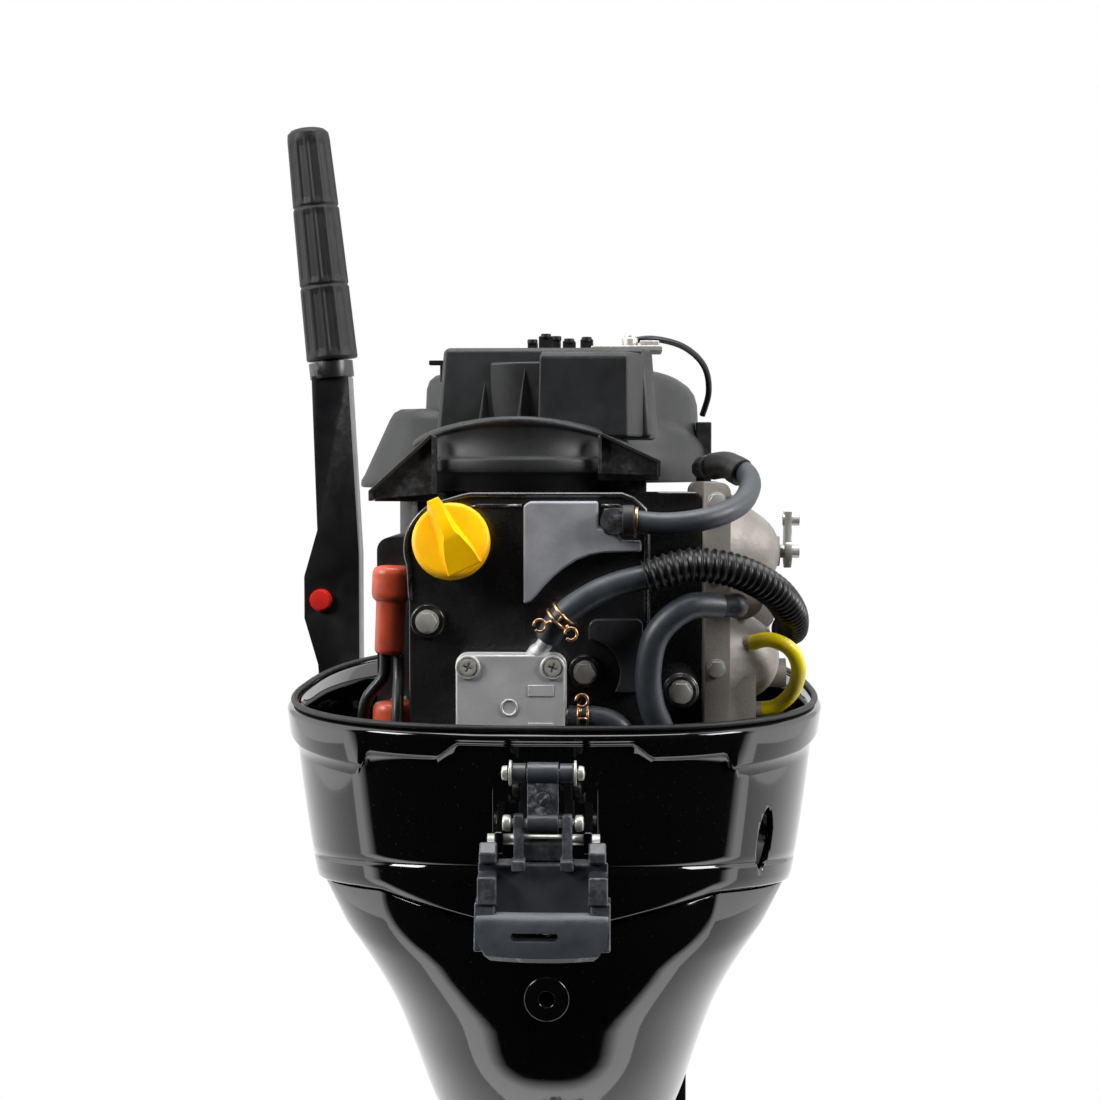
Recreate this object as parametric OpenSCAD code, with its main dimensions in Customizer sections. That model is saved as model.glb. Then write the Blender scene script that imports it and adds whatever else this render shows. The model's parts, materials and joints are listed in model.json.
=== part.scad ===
/* [Lower cowl] */
// Width of the lower cowl over its lip
cowl_w = 344; // [340:1:352]
// Length of the lower cowl over its lip
cowl_l = 470; // [466:1:474]
// Height of the lip above the transom top
rim_z = 165; // [163:1:166]
// Wall thickness of the lower cowl
cowl_wall = 4; // [3.5:0.5:5]

/* [Drive] */
// Depth of the propeller shaft below the transom top
prop_depth = 560; // [550:5:600]
// Diameter of the propeller
prop_d = 229; // [215:1:235]
// Number of propeller blades
prop_blades = 3; // [2:1:4]

/* [Transom clamp] */
// Gap between the transom face and the front leg
clamp_gap = 62; // [58:1:66]
// Half the distance between the two clamp screws
clamp_half = 84; // [82:1:88]
// Inner radius of the hollow tilt tube
tilt_bore_r = 8; // [7:0.5:8.5]

/* [Tiller] */
// Length of the twist grip
grip_l = 188; // [170:2:200]
// Outward lean of the folded grip
grip_lean = 5.9; // [4:0.1:7]

/* [Hidden] */

$fn = 48;
// Radial clearance of a shaft that turns or slides in its bore
run = 0.05;
// How far a cutting shape passes beyond the face that it cuts
over = 1;

// Axes of the moving parts
tilt_y = 5;
tilt_z = 22;
steer_y = -62;
crank_y = -165;
cam_x = -6;
starter_x = -93.2;
starter_y = -208;
cam_y = -362;
prop_z = -prop_depth;
screw_z = -38;

// Outline of the cowl, seen from above
cowl_front = -20;
cowl_back = cowl_front - cowl_l;
cowl_mid = -290;
cowl_power = 2.6;
cowl_sides = 56;

// Faces that the engine's pieces share
foot_z = 48;
floor_z = 62;
head_front = -330;
head_back = -392;
cover_back = -450;
head_top = 296;

// Places of the fittings on the engine's rear face
cap_pos = [-54, -452, 266];
cap_tilt = 20;
pump_pos = [-20, 176];
pump_w = 62;
boot_x = -92;
boot_y = -432;
plug_zs = [246, 166];

// Tiller
fold_x = -184;
fold_z = 130;
grip_base = [-193, 0, 399];

// Shift lever pivot and latch pivot
shift_y = -80;
shift_z = 85;
latch_y = -502;
latch_z = 108;
link_y = -512;
link_z = 119;
throttle_y = -392;
throttle_z = 262;
choke_x = -60;
choke_z = 120;

// Hose routes, each from its fitting onwards
breather_route = [[47, -466, 283], [68, -467, 281], [92, -462, 284], [110, -444, 293],
  [114, -420, 305], [106, -398, 312], [98, -384, 313]];
pump_route = [[1, -470, 216], [9, -475, 229], [24, -475, 240], [40, -472, 247], [55.3, -471, 250.8]];
return_route = [[16, -465, 171], [30, -466, 170.5], [41, -466, 166], [47, -465, 155], [47, -463, 141],
  [46, -461, 128]];
conduit_route = [[56, -471, 251], [82, -470, 258], [108, -462, 254], [130, -444, 242],
  [142, -420, 228], [146, -392, 216], [146, -360, 212]];
drain_route = [[98, -462, 234], [80, -470, 234], [63, -470, 219], [58, -468, 197],
  [60, -466, 178], [66, -462, 162], [67, -460.5, 150.5]];
telltale_route = [[120, -424, 209.2], [132, -431, 209.2], [148, -432, 200], [152, -424, 184],
  [142, -410, 171], [133, -407, 168.5], [127.5, -406, 168]];
cable_route = [[46, -352, 390.5], [62, -346, 393], [82, -330, 389], [96, -310, 378],
  [100, -296, 362], [96, -290, 346]];
lead_routes = [
  [[-96, -432, 202.5], [-97, -432.5, 190], [-107, -434, 176], [-109.5, -431, 158], [-109, -424, 130],
    [-108, -418, 107]],
  [[-92, -432, 122.5], [-92, -432.2, 115], [-92, -432, 107]],
  [[-88, -434, 201.6], [-87.5, -438, 190], [-87, -449, 172], [-87, -452, 150], [-87, -450, 120],
    [-87, -445, 96], [-87, -444, 84]]
];

// ---- Shared shapes ----

module rod_x(x0, x1, y, z, r) {
  translate([x0, y, z]) rotate([0, 90, 0]) cylinder(h = x1 - x0, r = r);
}

module rod_y(y0, y1, x, z, r) {
  translate([x, y1, z]) rotate([90, 0, 0]) cylinder(h = y1 - y0, r = r);
}

module rod_z(z0, z1, x, y, r) {
  translate([x, y, z0]) cylinder(h = z1 - z0, r = r);
}

module block(x0, x1, y0, y1, z0, z1) {
  translate([x0, y0, z0]) cube([x1 - x0, y1 - y0, z1 - z0]);
}

// A plan shape raised from z0
module up(z0, h) {
  translate([0, 0, z0]) linear_extrude(h) children();
}

// A shape drawn in X and Z, thickened aft from y0
module aft(y0, t) {
  translate([0, y0, 0]) rotate([90, 0, 0]) linear_extrude(t) children();
}

// A shape drawn in Y and Z, thickened to starboard from x0
module across(x0, t) {
  translate([x0, 0, 0]) rotate([90, 0, 90]) linear_extrude(t) children();
}

// A rectangle with true round corners
module soft_rect(x0, x1, y0, y1, r) {
  translate([x0 + r, y0]) square([x1 - x0 - 2 * r, y1 - y0]);
  translate([x0, y0 + r]) square([x1 - x0, y1 - y0 - 2 * r]);
  for (x = [x0 + r, x1 - r], y = [y0 + r, y1 - r])
    translate([x, y]) circle(r);
}

// A hexagon nut or bolt head along Z
module hex(across_flats, h) {
  cylinder(h = h, d = across_flats / cos(30), $fn = 6);
}

// A flange bolt's head, standing out aft from y0
module flange_bolt(x, y0, z, r, h) {
  translate([x, y0, z]) rotate([90, 0, 0]) {
    cylinder(h = h * 0.25, r = r);
    hex(r * 1.5, h);
  }
}

// Closed surface through rings of equally many points, each counted anticlockwise from above
module loft(rings, looped = false) {
  n = len(rings[0]);
  m = len(rings);
  last = looped ? m : m - 1;
  sides = [for (j = [0 : last - 1]) for (i = [0 : n - 1])
    let (a = j * n + i, b = j * n + (i + 1) % n, c = ((j + 1) % m) * n + (i + 1) % n,
      d = ((j + 1) % m) * n + i)
    each [[a, d, b], [b, d, c]]];
  caps = looped ? [] : [[for (i = [0 : n - 1]) i], [for (i = [n - 1 : -1 : 0]) (m - 1) * n + i]];
  polyhedron([for (r = rings) each r], concat(sides, caps));
}

// Superellipse outline at one height, blunt or pointed by its power
function outline(hw, front, back, mid, power, z, sides = cowl_sides) = [
  for (i = [0 : sides - 1])
    let (a = 360 * i / sides, c = cos(a), s = sin(a), reach = s > 0 ? front - mid : mid - back)
    [hw * sign(c) * pow(abs(c), 2 / power), mid + reach * sign(s) * pow(abs(s), 2 / power), z]
];

// Smooth curve through a route's points
function curve_point(a, b, c, d, t) =
  0.5 * ((2 * b) + (c - a) * t + (2 * a - 5 * b + 4 * c - d) * t * t
    + (3 * b - a - 3 * c + d) * t * t * t);
function smooth(route, steps) = [
  for (i = [0 : len(route) - 2]) for (k = [0 : steps - 1])
    curve_point(route[max(i - 1, 0)], route[i], route[i + 1],
      route[min(i + 2, len(route) - 1)], k / steps),
  route[len(route) - 1]
];

function unit(v) = v / norm(v);
function headings(path) = [
  for (i = [0 : len(path) - 1])
    unit(path[min(i + 1, len(path) - 1)] - path[max(i - 1, 0)])
];
function level(side, heading) = unit(side - (side * heading) * heading);

// Round hose along a path, carrying one side direction along so that it doesn't twist
module hose(route, r, steps = 4, sides = 10) {
  path = smooth(route, steps);
  along = headings(path);
  first = level(abs(along[0][2]) < 0.9 ? [0, 0, 1] : [0, 1, 0], along[0]);
  side = [for (i = 0, u = first; i < len(path);
    i = i + 1, u = level(u, along[min(i, len(path) - 1)])) u];
  loft([for (i = [0 : len(path) - 1])
    [for (k = [0 : sides - 1])
      let (a = 360 * k / sides)
      path[i] + r * (cos(a) * side[i] + sin(a) * cross(along[i], side[i]))]]);
}

// ---- Stern bracket ----

// Starboard bracket; the port one is its mirror image
module clamp_bracket() {
  inner = 66;
  outer = 97.5;
  plate = 10;
  leg = 18;
  foot = -230;
  difference() {
    union() {
      across(inner, plate) {
        translate([tilt_y, tilt_z]) circle(16);
        polygon([[-10, foot], [-45, foot + 20], [-45, 4], [-11, tilt_z], [21, tilt_z], [21, 4], [0, 0],
          [0, foot]]);
      }
      block(inner, outer, -10, 0, foot, 2);
      block(inner, outer, -10, clamp_gap + leg, 0, 12);
      block(inner, outer, clamp_gap, clamp_gap + leg, -74, 12);
      rod_y(clamp_gap + leg - over, clamp_gap + leg + 8, clamp_half, screw_z, 16);
      rod_x(inner, inner + 24, tilt_y, tilt_z, 16);
      for (z = [-60, -150])
        block(inner + plate - over, outer - 8, -18, -9, z - 4, z + 4);
    }
    rod_x(inner - over, outer + over, tilt_y, tilt_z, 11);
    rod_y(clamp_gap - over, clamp_gap + leg + 10, clamp_half, screw_z, 8 + run);
    for (z = [-80, -200])
      rod_y(-12, over, 88, z, 4.25);
    for (z = [-140, -170, -200])
      rod_x(inner - over, inner + plate + over, -28, z, 6 + run);
  }
}

module clamp_bracket_port() {
  color([0.09, 0.09, 0.1]) mirror([1, 0, 0]) clamp_bracket();
}

module clamp_bracket_starboard() {
  color([0.09, 0.09, 0.1]) clamp_bracket();
}

module tilt_tube() {
  color([0.7, 0.71, 0.72]) difference() {
    rod_x(-110, 110, tilt_y, tilt_z, 11);
    rod_x(-111, 111, tilt_y, tilt_z, tilt_bore_r);
  }
}

module tilt_tube_nuts() {
  color([0.72, 0.72, 0.7]) for (x = [-106, 98])
    difference() {
      translate([x, tilt_y, tilt_z]) rotate([0, 90, 0]) hex(30, 8);
      rod_x(x - over, x + 9, tilt_y, tilt_z, 11);
    }
}

module tilt_pin() {
  color([0.75, 0.75, 0.74]) {
    rod_x(-84, 82, -28, -170, 6);
    rod_x(82, 85, -28, -170, 9);
    rod_y(-46, -22, -80, -170, 1.5);
  }
}

module clamp_pad(side) {
  x = side * clamp_half;
  difference() {
    rod_y(46, 54, x, screw_z, 19);
    rod_y(49, 55, x, screw_z, 6 + run);
  }
}

module clamp_pad_port() {
  color([0.6, 0.61, 0.62]) clamp_pad(-1);
}

module clamp_pad_starboard() {
  color([0.6, 0.61, 0.62]) clamp_pad(1);
}

module clamp_screw(side) {
  x = side * clamp_half;
  rod_y(49.2, 55, x, screw_z, 6);
  rod_y(54.5, 134, x, screw_z, 8);
  rod_y(128, 142, x, screw_z, 10.5);
  rod_x(x - 36, x + 36, 135, screw_z, 4.5);
  for (end = [-1, 1])
    translate([x + end * 36, 135, screw_z]) sphere(7);
}

module clamp_screw_port() {
  color([0.7, 0.7, 0.7]) clamp_screw(-1);
}

module clamp_screw_starboard() {
  color([0.7, 0.7, 0.7]) clamp_screw(1);
}

// ---- Swivel and steering ----

module swivel_bracket() {
  barrel = 60;
  color([0.1, 0.1, 0.11]) difference() {
    union() {
      rod_x(-barrel, barrel, tilt_y, tilt_z, 15);
      rod_z(-190, 36, 0, steer_y, 27);
      block(-46, 46, -60, tilt_y, 8, 22);
      block(-9, 9, -60, -8, -120, 20);
      for (x = [-46, 36])
        across(x, 10) polygon([[-70, 8], [-70, -20], [-12, -2], [4, 8], [4, 20], [-60, 20]]);
      block(-20, 20, -42, -34.4, -182, -158);
    }
    rod_x(-barrel - over, barrel + over, tilt_y, tilt_z, 11 + run);
    rod_z(-191, 37, 0, steer_y, 18 + run);
  }
}

module steering_bracket() {
  yoke_z = 48.5;
  yoke_h = 12;
  post_x = -166;
  color([0.1, 0.1, 0.11]) {
    rod_z(-216, yoke_z + yoke_h, 0, steer_y, 18);
    rod_z(37, yoke_z + 4, 0, steer_y, 27);
    block(-34, 34, -128, -50, yoke_z, yoke_z + yoke_h);
    up(yoke_z, yoke_h) polygon([[-34, -90], [-34, -46], [-150, 16], [-172, 18], [-172, -18],
      [-150, -22], [-60, -84]]);
    across(post_x, 10) {
      translate([0, fold_z]) circle(17);
      translate([-17, yoke_z]) square([34, fold_z - yoke_z]);
    }
    rod_x(-206, post_x + 2, 0, fold_z, 6);
    rod_x(-208, -204, 0, fold_z, 10);
  }
}

// ---- Casings ----

// The joint between cowl and casing drops along the flanks and rises at both ends
function seam_z(y) = y > -200 ? lookup(y, [[-200, 50], [-110, 62], [0, 62]])
  : lookup(y, [[-480, 69], [-440, 66], [-370, 56], [-300, 52]]);
function cowl_taper(z) = pow((z - 45) / (rim_z - 45), 0.7);
function cowl_ring(z, inset) = outline(150 + (cowl_w / 2 - 154) * cowl_taper(z) - inset,
  cowl_front - 16 + 12 * cowl_taper(z) - inset, cowl_back + 22 - 18 * cowl_taper(z) + inset,
  cowl_mid, cowl_power, z);
function lip_ring(z, inset) = outline(cowl_w / 2 - inset, cowl_front - inset, cowl_back + inset,
  cowl_mid, cowl_power, z);
// The joint dips again behind the latch
function seam_dip(x, y) = y < -400 ? 24 * max(0, 1 - abs(x) / 100) : 0;
function on_seam(ring, gap) = [for (p = ring) [p[0], p[1], seam_z(p[1]) - seam_dip(p[0], p[1]) + gap]];

module lower_cowl() {
  heights = [72, 84, 98, 114, 128];
  outer = concat([on_seam(cowl_ring(50, 0), 0)], [for (z = heights) cowl_ring(z, 0)],
    [cowl_ring(136, 0), lip_ring(140, 3), lip_ring(148, 1.5), lip_ring(rim_z - 2, 0), lip_ring(rim_z, 2)]);
  inner = concat([lip_ring(rim_z, 7), cowl_ring(rim_z - 1, cowl_wall + 2)],
    [for (i = [len(heights) - 1 : -1 : 0]) cowl_ring(heights[i], cowl_wall)],
    [on_seam(cowl_ring(50, cowl_wall), 0)]);
  color([0.03, 0.03, 0.035]) difference() {
    union() {
      loft(concat(outer, inner), looped = true);
      // Floor pan, held by the walls
      difference() {
        loft([cowl_ring(72, 2), cowl_ring(75, 2)]);
        block(-86, 90, -405, -100, 60, 80);
      }
      // Bosses that carry the shift lever and the choke knob
      rod_x(108, 133, shift_y, shift_z, 12);
      rod_y(-48, -24, choke_x, choke_z, 9);
      // Ears of the rear latch
      for (x = [-27, 22])
        across(x, 5) polygon([[-470, 94], [latch_y - 6, latch_z - 7], [latch_y - 7, latch_z + 5],
          [latch_y + 4, latch_z + 8], [-476, 128]]);
      across(-40, 80) polygon([[-466, 84], [-484, 86], [-488, 140], [-470, 140]]);
      // Ledge along the rear lip, higher behind the latch
      aft(cowl_back + 4, 7) polygon([[-104, 152], [-62, 152], [-51, 158], [51, 158], [62, 152], [104, 152],
        [100, 163], [-100, 163]]);
    }
    rod_x(100, 140, shift_y, shift_z, 6 + run);
    rod_y(-60, -20, choke_x, choke_z, 4 + run);
    rod_x(-28, 28, latch_y, latch_z, 3 + run);
    // Oval hose outlet in the starboard flank
    translate([132, -430, 94]) rotate([0, 0, -36]) hull() for (z = [-11, 11])
      rod_x(-25, 20, 0, z, 8);
  }
}

module cowl_seal() {
  color([0.05, 0.05, 0.05]) loft([lip_ring(rim_z + 0.1, 2.5), lip_ring(rim_z + 3, 3),
    lip_ring(rim_z + 3, 6), lip_ring(rim_z + 0.1, 6.5)], looped = true);
}

// Half-width, front and rear of the casing at each height
function casing_ring(z, inset) = outline(
  lookup(z, [[-420, 40], [-240, 43], [-170, 60], [-102, 87], [-65, 96], [-29, 108], [0, 122], [26, 139],
    [46, 149.5], [68, 151]]) - inset,
  lookup(z, [[-420, -100], [-200, -98], [-60, -102], [0, -104], [68, -106]]) - inset,
  lookup(z, [[-420, -275], [-240, -292], [-150, -350], [-60, -420], [0, -452], [40, -464], [68, -466.5]])
    + inset, z < -200 ? -190 : lookup(z, [[-200, -190], [0, -270], [46, -290]]), z < -200 ? 2 : 2.4, z);
function casing_top(inset) = on_seam(casing_ring(60, inset), -1.5);

module upper_casing() {
  wall = 5;
  heights = [-420, -330, -240, -205, -170, -136, -102, -65, -29, 0, 18, 32];
  color([0.035, 0.035, 0.04]) difference() {
    union() {
      loft(concat([for (z = heights) casing_ring(z, 0)], [casing_top(0)], [casing_top(wall)],
        [for (i = [len(heights) - 1 : -1 : 0]) casing_ring(heights[i], wall)]), looped = true);
      // Plate that the engine stands on
      loft([casing_ring(38, 3), casing_ring(foot_z, 3)]);
      // Boss on the rear face, and its drain hole
      rod_y(-460, -440, 0, 6, 14);
      // Lower steering yoke
      block(-26, 26, -112, steer_y, -214, -194);
      rod_z(-214, -194, 0, steer_y, 26);
    }
    rod_z(30, 60, 0, crank_y, 20);
    rod_y(-470, -430, 0, 6, 4.5);
    rod_z(-216, -192, 0, steer_y, 18 + run);
    rod_z(30, 60, 0, -136, 5);
    // Way in for the steering yoke
    block(-36, 36, -125, -95, foot_z, 70);
  }
}

module gearcase() {
  plate_z = -430;
  torpedo_r = 42;
  nose = -66;
  tail = -330;
  color([0.045, 0.045, 0.05]) difference() {
    union() {
      loft([outline(30, -96, -272, -180, 2, prop_z + 30), outline(24, -100, -268, -180, 2, -500),
        outline(36, -94, -280, -190, 2, -450), outline(40, -92, -282, -190, 2, -420)]);
      // Anti-ventilation plate
      up(plate_z - 8, 8) {
        translate([0, -270]) circle(78);
        translate([-78, -270]) square([156, 90]);
        polygon([[-78, -180], [78, -180], [24, -80], [-24, -80]]);
        translate([0, -92]) circle(26);
      }
      // Torpedo
      translate([0, 0, prop_z]) rotate([90, 0, 0]) rotate_extrude() polygon(concat(
        [[0, -nose]], [for (a = [10 : 10 : 90]) [torpedo_r * sin(a), -nose + 60 * (1 - cos(a))]],
        [[torpedo_r, 260], [34, -tail], [0, -tail]]));
      // Skeg
      loft([outline(1.5, -160, -246, -200, 2, prop_z - 120), outline(3, -150, -268, -190, 2, prop_z - 90),
        outline(6, -110, -300, -190, 2, prop_z - 34)]);
    }
    // Gear chamber, shaft bores and oil gallery
    rod_y(-196, -128, 0, prop_z, 30);
    rod_y(-340, -190, 0, prop_z, 10 + run);
    rod_z(prop_z + 10, -410, 0, crank_y, 9.5 + run);
    rod_z(prop_z + 60, -410, 0, -116, 4 + run);
    for (x = [-1, 1])
      block(x > 0 ? 16 : -40, x > 0 ? 40 : -16, -150, -116, -508, -470);
  }
}

module trim_anode() {
  color([0.66, 0.67, 0.68]) {
    rod_z(-446, -438.2, 0, -304, 20);
    loft([outline(3, -290, -332, -304, 2, -484), outline(5, -286, -338, -304, 2, -446)]);
  }
}

module inlet_screens() {
  bars = 6;
  color([0.12, 0.12, 0.13]) for (side = [-1, 1])
    difference() {
      block(side > 0 ? 17 : -21, side > 0 ? 21 : -17, -149, -117, -507, -471);
      for (i = [0 : bars - 1])
        block(side > 0 ? 16 : -22, side > 0 ? 22 : -16, -146, -120, -504 + i * 5.4, -501.5 + i * 5.4);
    }
}

// ---- Engine ----

module cylinder_block() {
  color([0.13, 0.13, 0.14]) difference() {
    union() {
      block(-70, 70, -360, -132, foot_z + 0.2, 82);
      block(-70, 70, -232, -98, 82, 292);
      rod_z(82, 292, 0, -150, 72);
      block(-76, 76, head_front, -232, 82, 292);
      rod_z(292, 299, 0, crank_y, 34);
      for (z = [110, 160, 210, 260])
        block(-78, 78, head_front, -240, z, z + 4);
    }
    rod_z(96, 280, 0, crank_y, 58);
    rod_z(40, 300, 0, crank_y, 16 + run);
    for (z = plug_zs)
      rod_y(head_front - over, crank_y, 0, z, 29 + run);
  }
}

module cylinder_head() {
  color([0.14, 0.14, 0.15]) difference() {
    union() {
      aft(head_front, head_front - head_back) {
        soft_rect(-78, 84, 92, head_top, 8);
        soft_rect(-106, -60, 100, 270, 8);
      }
      block(-86, 86, -346, head_front, 96, 292);
    }
    rod_z(104, 284, cam_x, cam_y, 19);
    rod_z(280, 300, cam_x, cam_y, 10 + run);
    rod_z(96, 110, cam_x, cam_y, 10 + run);
    for (z = plug_zs)
      rod_y(head_back - over, head_back + 26, boot_x, z, 6);
  }
}

module valve_cover() {
  color([0.03, 0.03, 0.035]) difference() {
    union() {
      aft(head_back, head_back - cover_back) {
        polygon([[-80, 96], [88, 96], [88, 288], [83, 293], [56, 293], [47, 298], [-48, 298], [-60, 292],
          [-80, 256]]);
        translate([cap_pos[0], cap_pos[2]]) circle(27);
      }
      // Lip round the joint
      aft(head_back, 8) soft_rect(-84, 91, 94, 298, 8);
      // Breather chamber and the baffle box beside it
      aft(cover_back + over, 15)
        polygon([[-13, 235], [-6, 239.5], [4.5, 251], [14, 258], [25, 263], [54, 265], [54, 269], [43, 269],
          [40, 271], [35, 273.5], [30, 274.5], [29, 278], [29, 293], [-10, 293], [-13, 290]]);
      aft(cover_back + over, 8)
        polygon([[24, 215], [24, 222], [29, 226], [53, 226], [55, 223], [55, 184], [40, 184], [39, 203],
          [33, 211]]);
      // Pads under the bolts and the filler neck
      rod_y(cover_back - 3, cover_back + over, -69, 224, 10);
      rod_y(cover_back - 3, cover_back + over, 22, 195, 10);
      rod_y(cover_back - 3, cover_back + over, 77, 184, 9);
      aft(cover_back + over, 4) soft_rect(-53, 13, 140, 209, 6);
    }
    translate(cap_pos) rotate([90 - cap_tilt, 0, 0]) translate([0, 0, -30]) cylinder(h = 60, r = 15);
  }
}

module cover_bolts() {
  color([0.68, 0.68, 0.66]) {
    for (p = [[-69, 224], [22, 195], [77, 184], [-69, 112], [77, 112]])
      flange_bolt(p[0], p[1] < 120 ? cover_back : cover_back - 3, p[1], 6.8, 8);
    for (z = [293, 250, 196])
      flange_bolt(98, -438, z, 5.5, 7);
  }
}

module fuel_pump() {
  base = cover_back - 3;
  x = pump_pos[0];
  z = pump_pos[1];
  half = pump_w / 2;
  corner = half - 7;
  color([0.56, 0.57, 0.58]) difference() {
    union() {
      aft(base, 9) soft_rect(x - half + 1, x + half - 1, z - half + 1, z + half - 1, 6);
      aft(base - 9, 4) soft_rect(x - half - 1, x + half + 1, z - half - 1, z + half + 1, 7);
      aft(base - 13, 7) soft_rect(x - half, x + half, z - half, z + half, 7);
      for (sx = [-corner, corner], sz = [-corner, corner])
        rod_y(base - 20, base - 12, x + sx, z + sz, 6.5);
      rod_x(x + half - 2, x + half + 4, base - 12, z - 5, 4);
      // Outlet barb, in line with its hose
      translate([0.5, -469.7, 215.2]) rotate([0, 144.1, 148]) cylinder(h = 14, r = 4.6);
    }
    for (sx = [-corner, corner], sz = [-corner, corner])
      rod_y(base - 21, base - 9, x + sx, z + sz, 2.5);
  }
}

module pump_screws() {
  base = cover_back - 23;
  corner = pump_w / 2 - 7;
  color([0.7, 0.7, 0.68]) for (sx = [-corner, corner], sz = [-corner, corner])
    difference() {
      union() {
        rod_y(base - 2.6, base, pump_pos[0] + sx, pump_pos[1] + sz, 4.8);
        rod_y(base, base + 10.5, pump_pos[0] + sx, pump_pos[1] + sz, 2.5);
      }
      for (turn = [0, 90])
        translate([pump_pos[0] + sx, base - 1.6, pump_pos[1] + sz]) rotate([0, turn + 20, 0])
          cube([5.4, 3, 1.1], center = true);
    }
}

module hose_fittings() {
  color([0.06, 0.06, 0.065]) {
    // Breather elbow, in the corner of its chamber
    rod_y(-463, cover_back, 38, 282, 5);
    rod_y(-472, -459, 38, 282.5, 7.4);
    rod_x(38, 46, -466, 283, 7);
    // Elbow at the breather hose's far end, and the foot under it
    hose([[97.2, -382.6, 313], [94.5, -377, 312.8], [93.5, -370, 312], [93.5, -360, 311.8]], 7.4, 3);
    block(89, 98, -368, -360, 304, 309);
    // Upper end of the drain hose
    translate([99.3, -461.4, 234]) rotate([0, 0, 24]) rotate([0, 90, 0]) cylinder(h = 9.5, r = 6.5);
    translate([108, -457.5, 234]) sphere(7.2);
    rod_y(-457.5, -438, 108, 234, 6.5);
    // Spigots low on the valve cover
    rod_z(130, 149, 67, -460.2, 8.5);
    rod_y(-460, cover_back, 67, 138, 6);
    rod_z(112, 126.5, 46, -461, 5.5);
    rod_y(-461, cover_back, 46, 118, 5);
  }
}

module breather_hose() {
  color([0.16, 0.17, 0.18]) hose(breather_route, 6.4, 5, 12);
}

module pump_hose() {
  color([0.16, 0.17, 0.18]) {
    hose(pump_route, 7.2, 5, 12);
    hose(return_route, 6.5, 5, 12);
  }
}

module hose_conduit() {
  color([0.07, 0.07, 0.075]) hose(conduit_route, 10, 5, 12);
}

module drain_hose() {
  color([0.17, 0.18, 0.19]) hose(drain_route, 7.5, 5, 12);
}

module telltale_hose() {
  color([0.85, 0.8, 0.05]) hose(telltale_route, 4.5, 5);
}

// Spring wire clips round the pump's two hoses
module hose_clips() {
  wire = 0.9;
  color([0.72, 0.55, 0.32]) {
    translate([9, -475, 229]) rotate([0, 44.4, -12.3]) {
      for (z = [-3, 3])
        translate([0, 0, z]) rotate_extrude() translate([8.1 + wire, 0]) circle(wire, $fn = 16);
      rod_z(-3, 3, 9, 0, wire);
    }
    translate([21, -465.4, 171]) rotate([0, 90, 0]) {
      for (z = [-3, 3])
        translate([0, 0, z]) rotate_extrude() translate([7 + wire, 0]) circle(wire, $fn = 16);
      rod_z(-3, 3, 7.9, 0, wire);
    }
  }
}

module intake_manifold() {
  color([0.34, 0.32, 0.3]) difference() {
    union() {
      aft(-356, 82) soft_rect(84, 106, 112, 304, 6);
      for (z = [262, 198])
        hull() {
          rod_x(100, 104, -400, z + 4, 34, $fn = 32);
          translate([112, -398, z]) sphere(26, $fn = 32);
        }
      block(100, 122, -425, -350, 120, 190);
      rod_y(-420, -330, 114, 236, 13);
      rod_x(120, 138, throttle_y, throttle_z, 9);
      aft(-330, 6) soft_rect(90, 140, 210, 262, 8);
      // Tell-tale nipples
      translate([119.1, -423.5, 209.2]) rotate([0, 0, 149.7]) rotate([0, 90, 0]) cylinder(h = 13, r = 4.6);
      rod_x(120, 126.4, -406, 168, 4.6);
      // Small cap at the starboard side
      rod_x(118, 144, -372, 186, 9);
    }
    // Clear of the valve cover, and flat against the head
    block(60, 91.4, -460, -391.9, 90, 320);
    block(60, 84, -391.9, -340, 90, 320);
  }
}

module carburetor() {
  color([0.5, 0.5, 0.5]) {
    rod_y(-329, -262, 114, 236, 21);
    rod_y(-262, -238, 114, 236, 25);
    rod_z(176, 226, 116, -292, 25);
    rod_z(170, 176, 116, -292, 20);
    rod_x(92, 142, -306, 250, 5);
    block(88, 96, -318, -276, 228, 262);
  }
}

module throttle_lever() {
  color([0.62, 0.6, 0.56]) {
    rod_x(138.4, 150, throttle_y, throttle_z, 4);
    across(141, 4) {
      translate([throttle_y, throttle_z]) circle(10);
      polygon([[throttle_y - 9, throttle_z - 4], [throttle_y - 6, throttle_z + 24],
        [throttle_y + 6, throttle_z + 24], [throttle_y + 9, throttle_z - 4]]);
    }
    rod_x(140, 150, throttle_y, throttle_z + 19, 3.5);
  }
}

// Fixed plan of the cover over the camshaft pulley
module belt_plan(inset) {
  translate([cam_x, cam_y]) circle(61 - inset);
  translate([-57 + inset, -345]) square([108 - 2 * inset, 67.5]);
}

module belt_cover() {
  base_z = 299;
  color([0.085, 0.088, 0.092]) {
    difference() {
      union() {
        intersection() {
          union() {
            up(base_z, 41) belt_plan(0);
            up(base_z + 30, 12) translate([cam_x, cam_y]) circle(63);
          }
          cover_crown(0);
        }
        up(base_z, 8) translate([cam_x, cam_y]) circle(65);
        up(base_z, 4) polygon([[-106, -396], [-98, -420], [-40, -426], [36, -426], [64, -416], [66, -330],
          [-106, -330]]);
      }
      intersection() {
        up(base_z - over, 41) belt_plan(3);
        cover_crown(-4);
      }
    }
    // Wings from the skirt down to the flange's two ears
    aft(-402, 4) polygon([[-58, 328], [-63, 328], [-103, 306], [-105, 301], [-58, 301]]);
    aft(-402, 4) polygon([[46, 328], [50, 328], [65, 314], [65, 301], [46, 301]]);
  }
}

// Crowned top that the belt cover and the air silencer share
module cover_crown(gap) {
  crown_r = 166;
  crown_top = 339;
  rod_y(-440, -260, cam_x, crown_top - crown_r, crown_r + gap);
}

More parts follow.
